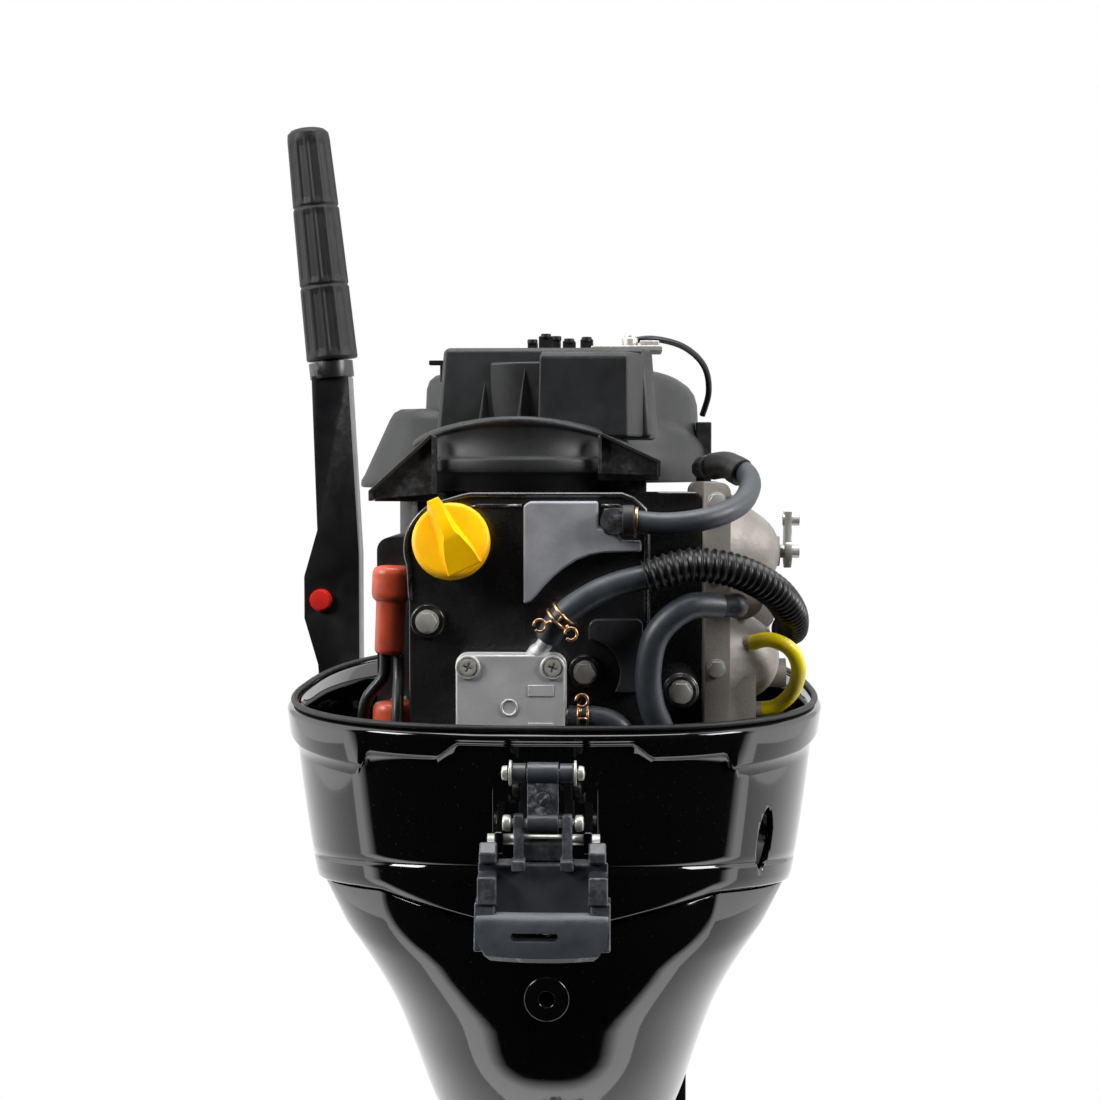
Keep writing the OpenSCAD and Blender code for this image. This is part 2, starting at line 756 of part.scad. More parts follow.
module air_silencer() {
  base_z = 329;
  top_z = 387;
  back = -398;
  panel = 14;
  color([0.075, 0.078, 0.082]) difference() {
    union() {
      translate([-9, 0, 0]) loft([for (s = [[base_z, 0], [376, 1], [384, 3], [top_z, 8]])
        outline(67 - s[1], -284 - s[1], back + s[1], -340, 7, s[0])]);
      // Stepped panel on the rear face
      aft(back + 2, panel + 2) polygon([[-11, base_z], [52, base_z], [50, 378], [44, 384], [-6, 384],
        [-11, 379]]);
      // Tapering ribs
      for (x = [-44, -22])
        across(x, 3) polygon([[back + 4, 332], [back - 15, 332], [back - 2, 378], [back + 4, 378]]);
      // Tab for the cowl's hook
      block(-84, -72, -352, -346, 378, 381);
      block(-78, -72, -352, -346, 366, 381);
      // Bridge over the flywheel cover
      block(-58, 40, -300, -190, 377, top_z);
      // Connectors on the lid
      for (x = [-18, -4, 12])
        block(x, x + 9, -352, -340, top_z - over, top_z + 6);
    }
    block(-58, 44, -384, -294, base_z - over, top_z - 4);
    cover_crown(0.4);
  }
}

module flywheel_cover() {
  base_z = 301;
  top_z = 376;
  drum = 108;
  color([0.07, 0.072, 0.076]) difference() {
    union() {
      rod_z(base_z, 344, 0, crank_y, drum);
      translate([0, crank_y, 344]) cylinder(h = 8, r1 = drum, r2 = drum - 9);
      rod_z(352, top_z, 0, crank_y, drum - 9);
      // Hood over the starter's pinion
      translate([starter_x, starter_y, 296]) cylinder(h = 54, r1 = 38, r2 = 24);
      rod_z(base_z - 2, base_z + 5, 0, crank_y, drum + 3);
      for (a = [-150, -30, 30, 150])
        translate([0, crank_y, base_z - over]) rotate([0, 0, a]) translate([drum - 1, -4, 0])
          cube([8, 8, 40]);
    }
    rod_z(base_z - 3, 343, 0, crank_y, drum - 3);
    rod_z(340, top_z - 4, 0, crank_y, drum - 13);
    rod_z(base_z - 10, 346, starter_x, starter_y, 20);
    // Mouth for the timing belt
    block(-54, 48, -290, -250, base_z - 8, 326);
  }
}

module ignition_coil() {
  color([0.07, 0.07, 0.08]) {
    block(-114, -86, -427, -394, 75, 98);
    block(-100, -86, -440, -426, 75, 98);
    for (p = [[-108, -418], [-92, -432]])
      rod_z(97, 106, p[0], p[1], 6);
    // Socket of the sensor's wire
    rod_z(75, 83, -87, -444, 4.5);
  }
}

module plug_leads() {
  color([0.03, 0.03, 0.03]) for (route = lead_routes)
    hose(route, 3.5, 4, 8);
}

module plug_boots() {
  color([0.8, 0.13, 0.05]) for (z = plug_zs)
    difference() {
      union() {
        rod_z(z - 43, z + 4, boot_x, boot_y, 10);
        rod_z(z - 14, z + 6, boot_x, boot_y, 12);
        rod_y(boot_y, head_back - 10, boot_x, z - 4, 10);
      }
      rod_y(boot_y + 4, head_back - 9, boot_x, z, 4.5 + run);
    }
}

module spark_plugs() {
  color([0.85, 0.85, 0.84]) for (z = plug_zs) {
    rod_y(head_back - 30, head_back - 9, boot_x, z, 4.5);
    translate([boot_x, head_back, z]) rotate([90, 0, 0]) hex(14, 8);
    rod_y(head_back - 9, head_back + 24, boot_x, z, 6);
  }
}

module starter_motor() {
  color([0.1, 0.1, 0.11]) {
    rod_z(168, 288, starter_x, starter_y, 20);
    rod_z(160, 168, starter_x, starter_y, 16);
    rod_z(288, 318, starter_x, starter_y, 5);
    rod_z(300, 318, starter_x, starter_y, 10);
    block(-90, -72.2, -222, -194, 180, 280);
  }
}

module oil_filler_neck() {
  color([0.04, 0.04, 0.045]) translate(cap_pos) rotate([90 - cap_tilt, 0, 0]) difference() {
    union() {
      translate([0, 0, -16]) cylinder(h = 26, r = 14.9);
      translate([0, 0, 7]) cylinder(h = 3, r = 18);
    }
    translate([0, 0, -17]) cylinder(h = 30, r = 11 + run);
  }
}

module oil_cap() {
  color([0.95, 0.66, 0.02]) translate(cap_pos) rotate([90 - cap_tilt, 0, 0]) {
    cylinder(h = 12, r = 11);
    translate([0, 0, 10.2]) cylinder(h = 9, r = 22);
    translate([0, 0, 19.2]) cylinder(h = 2, r = 20.5);
    rotate([0, 0, -50]) translate([0, 0, 24]) cube([38, 8, 12], center = true);
  }
}

module control_cable() {
  color([0.03, 0.03, 0.03]) {
    hose(cable_route, 2, 4, 8);
    block(38, 46, -358, -346, 387, 394);
  }
}

// Each connecting rod stops short of the crank throw that would carry it
module pistons() {
  crown = -322;
  color([0.75, 0.75, 0.76]) for (z = plug_zs) {
    difference() {
      rod_y(crown, crown + 40, 0, z, 29);
      rod_y(crown + 10, crown + 41, 0, z, 23);
      rod_z(z - 24, z + 24, 0, crown + 24, 8);
    }
    rod_z(z - 24, z + 24, 0, crown + 24, 7.5);
    block(-6, 6, crown + 30, -214, z - 7, z + 7);
  }
}

module timing_belt() {
  z0 = 306;
  width = 14;
  color([0.06, 0.06, 0.06]) difference() {
    up(z0, width) belt_outline(2.6);
    up(z0 - over, width + 2) belt_outline(0.3);
  }
}

// Loop round both pulleys at a stated distance from them
module belt_outline(off) {
  hull() {
    translate([0, crank_y]) circle(25 + off);
    translate([cam_x, cam_y]) circle(50 + off);
  }
}

module crankshaft() {
  throw = 20;
  color([0.6, 0.6, 0.62]) {
    rod_z(64, 148, 0, crank_y, 16);
    rod_z(184, 228, 0, crank_y, 16);
    rod_z(264, 368, 0, crank_y, 16);
    for (z = plug_zs) {
      for (web = [-1, 1])
        rod_z(z + web * 14 - 5, z + web * 14 + 5, 0, crank_y, 38);
      rod_z(z - 10, z + 10, 0, crank_y + throw, 11);
    }
    // Timing pulley and its flange
    rod_z(304, 322, 0, crank_y, 25);
    rod_z(322, 324, 0, crank_y, 29);
  }
}

module flywheel() {
  rim = 92;
  color([0.45, 0.45, 0.46]) difference() {
    union() {
      rod_z(328, 360, 0, crank_y, rim);
      rod_z(326, 366, 0, crank_y, 30);
    }
    rod_z(336, 367, 0, crank_y, rim - 10);
    rod_z(320, 370, 0, crank_y, 16);
  }
  color([0.45, 0.45, 0.46]) difference() {
    rod_z(330, 366, 0, crank_y, 28);
    rod_z(320, 370, 0, crank_y, 16);
  }
}

module camshaft() {
  color([0.55, 0.55, 0.57]) {
    rod_z(98, 326, cam_x, cam_y, 10);
    for (z = plug_zs, side = [-1, 1])
      rod_z(z + side * 15 - 6, z + side * 15 + 6, cam_x, cam_y - 3, 14);
    rod_z(304, 322, cam_x, cam_y, 50);
    rod_z(322, 324, cam_x, cam_y, 53);
  }
}

module driveshaft() {
  pinion_r = 13;
  color([0.7, 0.7, 0.72]) {
    rod_z(prop_z + 18, 63.8, 0, crank_y, 9.5);
    translate([0, crank_y, prop_z + 15]) cylinder(h = 11, r1 = pinion_r - 4, r2 = pinion_r);
  }
}

module prop_shaft() {
  color([0.72, 0.72, 0.74]) {
    rod_y(-414, -141, 0, prop_z, 10);
    translate([0, -150.4, prop_z]) rotate([-90, 0, 0]) cylinder(h = 10, r1 = 26, r2 = 28);
    rod_y(-336, -331, 0, prop_z, 15);
    translate([0, -402, prop_z]) rotate([90, 0, 0]) hex(24, 10);
    rod_y(-402, -399, 0, prop_z, 16);
  }
}

// One blade section, turned to the pitch of its radius
function blade_ring(r, chord, thick, pitch) = let (turn = atan(pitch / (2 * PI * r)))
  [for (i = [0 : 15])
    let (a = 22.5 * i, u = chord / 2 * cos(a), v = thick / 2 * sin(a))
    [u * cos(turn) - v * sin(turn), u * sin(turn) + v * cos(turn), r]];

module propeller() {
  pitch = 230;
  hub_r = 33;
  stations = [[28, 62, 9], [45, 78, 7], [65, 92, 5.5], [85, 96, 4.5], [100, 80, 3.5],
    [prop_d / 2 - 4, 52, 2.5], [prop_d / 2, 26, 1.5]];
  color([0.06, 0.06, 0.065]) translate([0, -367, prop_z]) {
    rotate([90, 0, 0]) translate([0, 0, -31]) difference() {
      cylinder(h = 62, r = hub_r);
      translate([0, 0, -over]) cylinder(h = 64, r = 10);
      for (a = [0 : 120 : 240])
        rotate([0, 0, a]) translate([19, 0, 6]) cylinder(h = 60, r = 6);
    }
    for (k = [0 : prop_blades - 1])
      rotate([0, k * 360 / prop_blades, 0])
        loft([for (s = stations) blade_ring(s[0], s[1], s[2], pitch)]);
  }
}

// ---- Controls ----

module tiller_arm() {
  color([0.05, 0.05, 0.055]) {
    difference() {
      union() {
        aft(14, 28) polygon([[-170, 118], [-170, 240], [-178, 385], [-208, 385], [-204, 260], [-215, 222],
          [-215, 188], [-204, 150], [-202, 118]]);
        rod_x(-202, -170, 0, fold_z, 17);
      }
      rod_x(-216, -160, 0, fold_z, 6 + run);
      rod_y(-16, 2, -201, 203, 9 + run);
    }
    translate([grip_base[0], 0, 384]) rotate([0, -grip_lean, 0]) cylinder(h = 13, r = 18);
    translate(grip_base) rotate([0, -grip_lean, 0]) translate([0, 0, -8]) cylinder(h = 60, r = 9);
  }
}

module tiller_grip() {
  foot_r = 21;
  tip_r = 17.5;
  color([0.04, 0.04, 0.042]) translate(grip_base) rotate([0, -grip_lean, 0]) difference() {
    rotate_extrude() polygon([[0, 0], [foot_r - 1, 0], [foot_r, 2], [foot_r - 1, 58], [foot_r - 2, 60],
      [foot_r - 1, 62], [foot_r - 2, 122], [foot_r - 3.2, 124], [foot_r - 2.2, 126], [tip_r, grip_l - 6],
      [tip_r - 3, grip_l - 1], [tip_r - 8, grip_l], [0, grip_l]]);
    translate([0, 0, -over]) cylinder(h = 56, r = 9 + run);
  }
}

module stop_button() {
  color([0.85, 0.1, 0.06]) {
    rod_y(-18, -4, -201, 203, 9);
    rod_y(-20, -18, -201, 203, 7.5);
  }
}

module shift_lever() {
  x = 149;
  color([0.05, 0.05, 0.055]) {
    rod_x(100, x + 2, shift_y, shift_z, 6);
    across(x, 8) {
      translate([shift_y, shift_z]) circle(13);
      polygon([[shift_y - 9, shift_z], [shift_y - 7, shift_z + 60], [shift_y + 7, shift_z + 60],
        [shift_y + 9, shift_z]]);
    }
    rod_x(x - 1, x + 15, shift_y, shift_z + 62, 12);
  }
}

module shift_rod() {
  color([0.7, 0.7, 0.72]) rod_z(prop_z + 72, 28, 0, -116, 4);
}

module latch_lever() {
  half = 35;
  color([0.16, 0.165, 0.17]) {
    // Hinge barrel and its pin
    difference() {
      rod_x(-21, 21, latch_y, latch_z, 6);
      rod_x(-8.5, 8.5, latch_y, latch_z, 20);
    }
    rod_x(-32, 32, latch_y, latch_z, 3);
    for (x = [-21, 9])
      across(x, 12) polygon([[latch_y - 2, latch_z - 14], [latch_y + 2, latch_z + 5],
        [link_y + 3, link_z + 5], [link_y - 5, link_z + 3], [link_y - 5, latch_z - 14]]);
    rod_x(-19, 19, link_y, link_z, 2.5);
    // Lever plate with its side flanges and flared lip
    across(-half + 3, 2 * half - 6) polygon([[-504, 96], [-508, 98], [-514, 96], [-515, 72], [-521, 52],
      [-528, 47], [-526, 40], [-516, 42], [-511, 54], [-508, 70]]);
    for (x = [-half, half - 4])
      across(x, 4) polygon([[-501, 92], [-503, 101], [-511, 105], [-519, 101], [-521, 84], [-525, 80],
        [-524, 62], [-528, 47], [-526, 40], [-516, 42], [-505, 62]]);
  }
}

module latch_link() {
  bar_z = 148;
  color([0.14, 0.145, 0.15]) {
    difference() {
      across(-8, 16) polygon([[link_y - 4, link_z - 4], [link_y + 4, link_z - 4], [link_y + 3, bar_z + 4],
        [link_y - 4, bar_z + 4]]);
      rod_x(-9, 9, link_y, link_z, 2.5 + run);
    }
    rod_x(-20, 20, link_y, bar_z, 5);
    for (x = [-23, 20])
      rod_x(x, x + 3, link_y, bar_z, 6.2);
    rod_y(link_y - 6, link_y - 3, 0, 134, 4.5);
  }
}

module choke_knob() {
  color([0.05, 0.05, 0.055]) {
    rod_y(-46, -18, choke_x, choke_z, 4);
    rod_y(-22, -6, choke_x, choke_z, 11);
  }
}

clamp_bracket_port();
clamp_bracket_starboard();
tilt_tube();
tilt_tube_nuts();
tilt_pin();
clamp_pad_port();
clamp_pad_starboard();
clamp_screw_port();
clamp_screw_starboard();
swivel_bracket();
steering_bracket();
lower_cowl();
cowl_seal();
upper_casing();
gearcase();
trim_anode();
inlet_screens();
cylinder_block();
cylinder_head();
valve_cover();
cover_bolts();
fuel_pump();
pump_screws();
hose_fittings();
breather_hose();
pump_hose();
hose_conduit();
drain_hose();
telltale_hose();
hose_clips();
intake_manifold();
carburetor();
belt_cover();
air_silencer();
flywheel_cover();
ignition_coil();
plug_leads();
plug_boots();
spark_plugs();
starter_motor();
oil_filler_neck();
control_cable();
pistons();
timing_belt();
oil_cap();
tiller_arm();
tiller_grip();
stop_button();
shift_lever();
shift_rod();
latch_lever();
latch_link();
choke_knob();
throttle_lever();
crankshaft();
flywheel();
driveshaft();
prop_shaft();
propeller();
camshaft();
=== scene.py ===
import json
import math

import bmesh
import bpy
from mathutils import Euler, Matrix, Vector


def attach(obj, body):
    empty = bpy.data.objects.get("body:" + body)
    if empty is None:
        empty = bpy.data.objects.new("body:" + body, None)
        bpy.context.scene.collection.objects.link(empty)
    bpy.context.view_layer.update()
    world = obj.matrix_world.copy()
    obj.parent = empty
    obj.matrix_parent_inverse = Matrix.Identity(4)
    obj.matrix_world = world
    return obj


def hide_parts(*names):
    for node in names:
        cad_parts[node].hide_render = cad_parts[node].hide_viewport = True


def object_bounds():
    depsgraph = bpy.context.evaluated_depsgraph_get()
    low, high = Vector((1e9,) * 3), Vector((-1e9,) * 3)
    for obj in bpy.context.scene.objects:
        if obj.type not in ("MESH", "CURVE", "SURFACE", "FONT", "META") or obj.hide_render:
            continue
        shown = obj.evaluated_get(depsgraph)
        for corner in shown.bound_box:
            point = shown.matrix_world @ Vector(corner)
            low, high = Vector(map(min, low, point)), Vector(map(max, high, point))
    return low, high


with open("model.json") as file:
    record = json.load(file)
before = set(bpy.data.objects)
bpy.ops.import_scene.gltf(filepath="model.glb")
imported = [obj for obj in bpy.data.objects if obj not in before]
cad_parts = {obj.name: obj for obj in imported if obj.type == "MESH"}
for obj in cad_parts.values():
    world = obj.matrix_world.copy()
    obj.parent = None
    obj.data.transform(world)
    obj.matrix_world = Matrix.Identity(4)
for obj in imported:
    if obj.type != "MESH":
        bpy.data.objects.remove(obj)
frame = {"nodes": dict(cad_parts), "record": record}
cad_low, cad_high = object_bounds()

MM = 0.001

# ---- Main sizes, in millimetres, as the CAD has them ----

COWL_W = 344
COWL_FRONT = -20
COWL_BACK = -490
COWL_MID = -290
COWL_POWER = 2.6
COWL_WALL = 4
RIM_Z = 165
FOOT_Z = 48
COWL_MID_Z = 100
STEER_Y = -62
COVER_BACK = -450
LATCH = (-502, 108)
LINK = (-512, 119)
PIN_R = 2.6


# ---- Materials ----

def add(tree, kind, **inputs):
    node = tree.nodes.new(kind)
    for key, value in inputs.items():
        node.inputs[key.replace("_", " ")].default_value = value
    return node


def noise(tree, coords, scale, detail=4.0, rough=0.6):
    node = add(tree, "ShaderNodeTexNoise", Scale=scale, Detail=detail, Roughness=rough)
    tree.links.new(coords, node.inputs["Vector"])
    return node.outputs["Fac"]


def remap(tree, value, low, high, to_low, to_high):
    node = tree.nodes.new("ShaderNodeMapRange")
    for key, number in (("From Min", low), ("From Max", high), ("To Min", to_low), ("To Max", to_high)):
        node.inputs[key].default_value = number
    tree.links.new(value, node.inputs["Value"])
    return node.outputs["Result"]


def times(tree, a, b):
    node = tree.nodes.new("ShaderNodeMath")
    node.operation = "MULTIPLY"
    tree.links.new(a, node.inputs[0])
    tree.links.new(b, node.inputs[1])
    return node.outputs[0]


def blend_colours(tree, factor, first, second):
    """Mixes two colours; each is a socket or a tuple."""
    node = tree.nodes.new("ShaderNodeMix")
    node.data_type = "RGBA"
    tree.links.new(factor, node.inputs["Factor"])
    for socket, colour in ((node.inputs[6], first), (node.inputs[7], second)):
        if isinstance(colour, tuple):
            socket.default_value = (*colour, 1)
        else:
            tree.links.new(colour, socket)
    return node.outputs[2]


def surface(name, colour, shade, rough, spread=0.08, metal=0.0, patch=14, grain=900, depth=0.12,
            coat=0.0, coat_rough=0.06, wear=None, wear_amount=0.5, dust=0.0, specks=0.0, ior=1.5):
    """Procedural finish: two-tone patches, fine grain, uneven gloss, worn edges and settled dust."""
    mat = bpy.data.materials.new(name)
    mat.use_nodes = True
    tree = mat.node_tree
    shader = tree.nodes["Principled BSDF"]
    coords = tree.nodes.new("ShaderNodeTexCoord").outputs["Object"]
    tone = remap(tree, noise(tree, coords, patch, 5), 0.35, 0.65, 0, 1)
    base = blend_colours(tree, tone, colour, shade)
    gloss = remap(tree, noise(tree, coords, patch * 4, 6, 0.7), 0.3, 0.7, rough - spread, rough + spread)
    if wear:
        point = tree.nodes.new("ShaderNodeNewGeometry").outputs["Pointiness"]
        edge = remap(tree, point, 0.53, 0.62, 0, wear_amount)
        chips = remap(tree, noise(tree, coords, 160, 6, 0.75), 0.45, 0.6, 0, 1)
        base = blend_colours(tree, times(tree, edge, chips), base, wear)
    if dust:
        normal = tree.nodes.new("ShaderNodeNewGeometry").outputs["Normal"]
        split = tree.nodes.new("ShaderNodeSeparateXYZ")
        tree.links.new(normal, split.inputs[0])
        upward = remap(tree, split.outputs["Z"], 0.2, 1, 0.15, 1)
        settled = remap(tree, noise(tree, coords, 60, 8, 0.8), 0.42, 0.75, 0, dust)
        base = blend_colours(tree, times(tree, upward, settled), base, (0.32, 0.31, 0.29))
    if specks:
        dots = remap(tree, noise(tree, coords, 700, 2, 0.5), 0.70, 0.74, 0, specks)
        base = blend_colours(tree, dots, base, (0.4, 0.4, 0.38))
    tree.links.new(base, shader.inputs["Base Color"])
    tree.links.new(gloss, shader.inputs["Roughness"])
    shader.inputs["Metallic"].default_value = metal
    shader.inputs["IOR"].default_value = ior
    shader.inputs["Coat Weight"].default_value = coat
    shader.inputs["Coat Roughness"].default_value = coat_rough
    bump = add(tree, "ShaderNodeBump", Strength=depth, Distance=0.0004)
    tree.links.new(noise(tree, coords, grain, 3), bump.inputs["Height"])
    tree.links.new(bump.outputs["Normal"], shader.inputs["Normal"])
    return mat


LOOKS = {
    "black_paint": surface("black_paint", (0.0018, 0.0018, 0.002), (0.003, 0.003, 0.0033), 0.06, 0.03,
                           patch=6, grain=260, depth=0.015, coat=0.25, coat_rough=0.02, specks=0.06,
                           ior=1.45),
    "bracket_paint": surface("bracket_paint", (0.006, 0.006, 0.007), (0.010, 0.010, 0.011), 0.34, 0.08,
                             grain=700, depth=0.12, coat=0.15, coat_rough=0.2, wear=(0.3, 0.3, 0.3),
                             dust=0.04),
    "cover_paint": surface("cover_paint", (0.010, 0.010, 0.0105), (0.016, 0.016, 0.017), 0.26, 0.06,
                           patch=22, grain=420, depth=0.16, coat=0.6, coat_rough=0.12,
                           wear=(0.16, 0.16, 0.16), wear_amount=0.4, dust=0.12),
    # Light grey that stands in for the reflection on the breather box face: a painted reflection over the
    # cover's own dark paint. Its dust is real.
    "worn_paint": surface("worn_paint", (0.23, 0.235, 0.255), (0.31, 0.315, 0.335), 0.4, 0.08, patch=50,
                          grain=420, depth=0.35, dust=0.1),
    "satin_paint": surface("satin_paint", (0.030, 0.031, 0.035), (0.048, 0.049, 0.054), 0.34, 0.08,
                           patch=40, grain=420, depth=0.25, coat=0.2, coat_rough=0.2, dust=0.05),
    "engine_paint": surface("engine_paint", (0.009, 0.009, 0.010), (0.016, 0.016, 0.017), 0.42, 0.1,
                            grain=520, depth=0.35, wear=(0.2, 0.2, 0.2), dust=0.12),
    "steel": surface("steel", (0.52, 0.52, 0.53), (0.4, 0.4, 0.41), 0.24, 0.08, metal=1.0, grain=1500,
                     depth=0.08),
    "zinc": surface("zinc", (0.66, 0.65, 0.61), (0.5, 0.49, 0.45), 0.36, 0.1, metal=0.6, patch=90,
                    grain=1400, depth=0.15),
    "aluminium": surface("aluminium", (0.62, 0.62, 0.62), (0.50, 0.50, 0.50), 0.5, 0.1, metal=0.55,
                         patch=40, grain=1300, depth=0.35, dust=0.1),
    "brown_casting": surface("brown_casting", (0.33, 0.305, 0.275), (0.24, 0.22, 0.20), 0.5, 0.1,
                             metal=0.3, patch=30, grain=700, depth=0.5, dust=0.25),
    "black_plastic": surface("black_plastic", (0.013, 0.0135, 0.0145), (0.020, 0.0207, 0.0222), 0.46, 0.08,
                             patch=20, grain=1500, depth=0.3, wear=(0.12, 0.12, 0.125), dust=0.06,
                             ior=1.4),
    "latch_plastic": surface("latch_plastic", (0.028, 0.031, 0.037), (0.042, 0.046, 0.054), 0.34, 0.08,
                             patch=30, grain=1200, depth=0.15, wear=(0.4, 0.41, 0.42), wear_amount=0.7,
                             dust=0.05),
    "grey_hose": surface("grey_hose", (0.022, 0.026, 0.032), (0.032, 0.037, 0.045), 0.44, 0.1, patch=40,
                         grain=900, depth=0.2, dust=0.08),
    "black_hose": surface("black_hose", (0.004, 0.004, 0.0045), (0.008, 0.008, 0.0085), 0.36, 0.08,
                          patch=60, grain=900, depth=0.1, dust=0.02, ior=1.4),
    "yellow_hose": surface("yellow_hose", (0.86, 0.70, 0.003), (0.74, 0.58, 0.003), 0.36, 0.08, patch=50,
                           grain=900, depth=0.1),
    "rubber": surface("rubber", (0.005, 0.005, 0.0055), (0.009, 0.009, 0.0095), 0.5, 0.08, patch=30,
                      grain=1400, depth=0.3, dust=0.03, ior=1.38),
    "red_rubber": surface("red_rubber", (0.56, 0.075, 0.026), (0.36, 0.042, 0.016), 0.40, 0.1, patch=60,
                          grain=1000, depth=0.2, dust=0.08),
    "red_plastic": surface("red_plastic", (0.75, 0.03, 0.02), (0.6, 0.02, 0.015), 0.25, 0.06, patch=60,
                           depth=0.05, coat=0.3),
    "yellow_plastic": surface("yellow_plastic", (1.0, 0.56, 0.0), (0.96, 0.46, 0.0), 0.36, 0.06,
                              patch=50, grain=1100, depth=0.12, ior=1.35),
    "brass": surface("brass", (0.55, 0.34, 0.19), (0.38, 0.23, 0.12), 0.32, 0.08, metal=1.0, patch=120),
    "prop_paint": surface("prop_paint", (0.008, 0.008, 0.009), (0.014, 0.014, 0.015), 0.2, 0.06, patch=12,
                          grain=400, depth=0.06, coat=0.6, wear=(0.4, 0.4, 0.4)),
}


# ---- Finishing of the CAD nodes ----

SLOTS = {part["node"]: part["material_slot"] for part in frame["record"]["subparts"]}


def round_edges(obj, width, segments=3, angle=32):
    """Welds the seams between faces, rounds every sharp edge and shades smoothly."""
    obj.data.polygons.foreach_set("use_smooth", [True] * len(obj.data.polygons))
    weld = obj.modifiers.new("weld", "WELD")
    weld.merge_threshold = 0.00002
    bevel = obj.modifiers.new("round", "BEVEL")
    bevel.width = width * MM
    bevel.segments = segments
    bevel.limit_method = "ANGLE"
    bevel.angle_limit = math.radians(angle)
    bevel.harden_normals = True
    bevel.use_clamp_overlap = True
    bevel.miter_outer = "MITER_ARC"


USUAL_EDGE = 1.2
FINE = {"hose_clips": 0.1, "pump_screws": 0.3, "cover_bolts": 0.5, "inlet_screens": 0.3, "timing_belt": 0.4,
        "spark_plugs": 0.5, "throttle_lever": 0.8, "latch_link": 0.8, "latch_lever": 1.0}

for name, obj in frame["nodes"].items():
    obj.data.materials.clear()
    obj.data.materials.append(LOOKS[SLOTS[name]])
    round_edges(obj, FINE.get(name, USUAL_EDGE))


# ---- Mesh helpers; shapes are given in millimetres ----

def piece(name, verts, faces, body, look, stands_for=(), smooth=True, slot=None):
    """Makes a mesh piece, gives it its finish and joins it to its body."""
    mesh = bpy.data.meshes.new(name)
    mesh.from_pydata([tuple(c * MM for c in v) for v in verts], [], faces)
    mesh.validate()
    shell = bmesh.new()
    shell.from_mesh(mesh)
    bmesh.ops.recalc_face_normals(shell, faces=shell.faces)
    shell.to_mesh(mesh)
    shell.free()
    mesh.polygons.foreach_set("use_smooth", [smooth] * len(mesh.polygons))
    obj = bpy.data.objects.new(name, mesh)
    bpy.context.scene.collection.objects.link(obj)
    mesh.materials.append(LOOKS[look])
    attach(obj, body)
    if stands_for:
        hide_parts(*stands_for)
    return obj


def ring_faces(count, sides, looped=False, caps=True):
    """Faces that join rings of points, each ring anticlockwise seen from the next."""
    faces = []
    for j in range(count if looped else count - 1):
        k = (j + 1) % count
        for i in range(sides):
            n = (i + 1) % sides
            faces.append((j * sides + i, j * sides + n, k * sides + n, k * sides + i))
    if caps and not looped:
        faces.append(tuple(range(sides - 1, -1, -1)))
        faces.append(tuple((count - 1) * sides + i for i in range(sides)))
    return faces


def loft(name, rings, body, look, stands_for=(), looped=False):
    verts = [p for ring in rings for p in ring]
    return piece(name, verts, ring_faces(len(rings), len(rings[0]), looped), body, look, stands_for)


def merge(parts):
    """Joins (verts, faces) pairs into one."""
    verts, faces = [], []
    for part_verts, part_faces in parts:
        start = len(verts)
        verts += [tuple(v) for v in part_verts]
        faces += [tuple(i + start for i in f) for f in part_faces]
    return verts, faces


def smooth_route(points, steps):
    """Catmull-Rom curve through the points."""
    pts = [Vector(p) for p in points]
    out = []
    for i in range(len(pts) - 1):
        a, b, c, d = pts[max(i - 1, 0)], pts[i], pts[i + 1], pts[min(i + 2, len(pts) - 1)]
        for k in range(steps):
            t = k / steps
            out.append(0.5 * (2 * b + (c - a) * t + (2 * a - 5 * b + 4 * c - d) * t * t
                              + (3 * b - a - 3 * c + d) * t * t * t))
    out.append(pts[-1])
    return out


def even_path(points, spacing):
    """The smooth route cut into equal lengths."""
    fine = smooth_route(points, 24)
    path, gone = [fine[0]], 0.0
    for a, b in zip(fine, fine[1:]):
        gone += (b - a).length
        while gone >= spacing:
            gone -= spacing
            path.append(b + (a - b).normalized() * gone)
    if (path[-1] - fine[-1]).length > spacing * 0.3:
        path.append(fine[-1])
    return path


def tube(path, radius, sides=24):
    """A round tube along a path; radius is a number or a function of the distance along it."""
    rings, side, gone = [], None, 0.0
    for i, point in enumerate(path):
        along = (path[min(i + 1, len(path) - 1)] - path[max(i - 1, 0)]).normalized()
        if side is None:
            side = Vector((0, 0, 1)) if abs(along.z) < 0.9 else Vector((0, 1, 0))
        side = (side - along * side.dot(along)).normalized()
        other = along.cross(side)
        if i:
            gone += (point - path[i - 1]).length
        r = radius(gone) if callable(radius) else radius
        rings.append([point + r * (side * math.cos(a) + other * math.sin(a))
                      for a in (2 * math.pi * k / sides for k in range(sides))])
    return [p for ring in rings for p in ring], ring_faces(len(rings), sides)


def lathe(profile, place, axis, sides=64):
    """Turns (radius, height) points about an axis through place. A zero radius closes the end."""
    axis = Vector(axis).normalized()
    side = axis.orthogonal().normalized()
    other = axis.cross(side)
    rings = []
    for r, h in profile:
        centre = Vector(place) + axis * h
        rings.append([centre + max(r, 0.01) * (side * math.cos(a) + other * math.sin(a))
                      for a in (2 * math.pi * k / sides for k in range(sides))])
    return [p for ring in rings for p in ring], ring_faces(len(rings), sides)


def rounded(profile, radius, steps=5):
    """Rounds the inner corners of an open profile of (r, h) points."""
    out = [profile[0]]
    for a, b, c in zip(profile, profile[1:], profile[2:]):
        a, b, c = Vector(a), Vector(b), Vector(c)
        cut = min(radius, (a - b).length * 0.45, (c - b).length * 0.45)
        p, q = b + (a - b).normalized() * cut, b + (c - b).normalized() * cut
        for k in range(steps + 1):
            t = k / steps
            out.append(tuple((1 - t) ** 2 * p + 2 * t * (1 - t) * b + t * t * q))
    out.append(profile[-1])
    return out


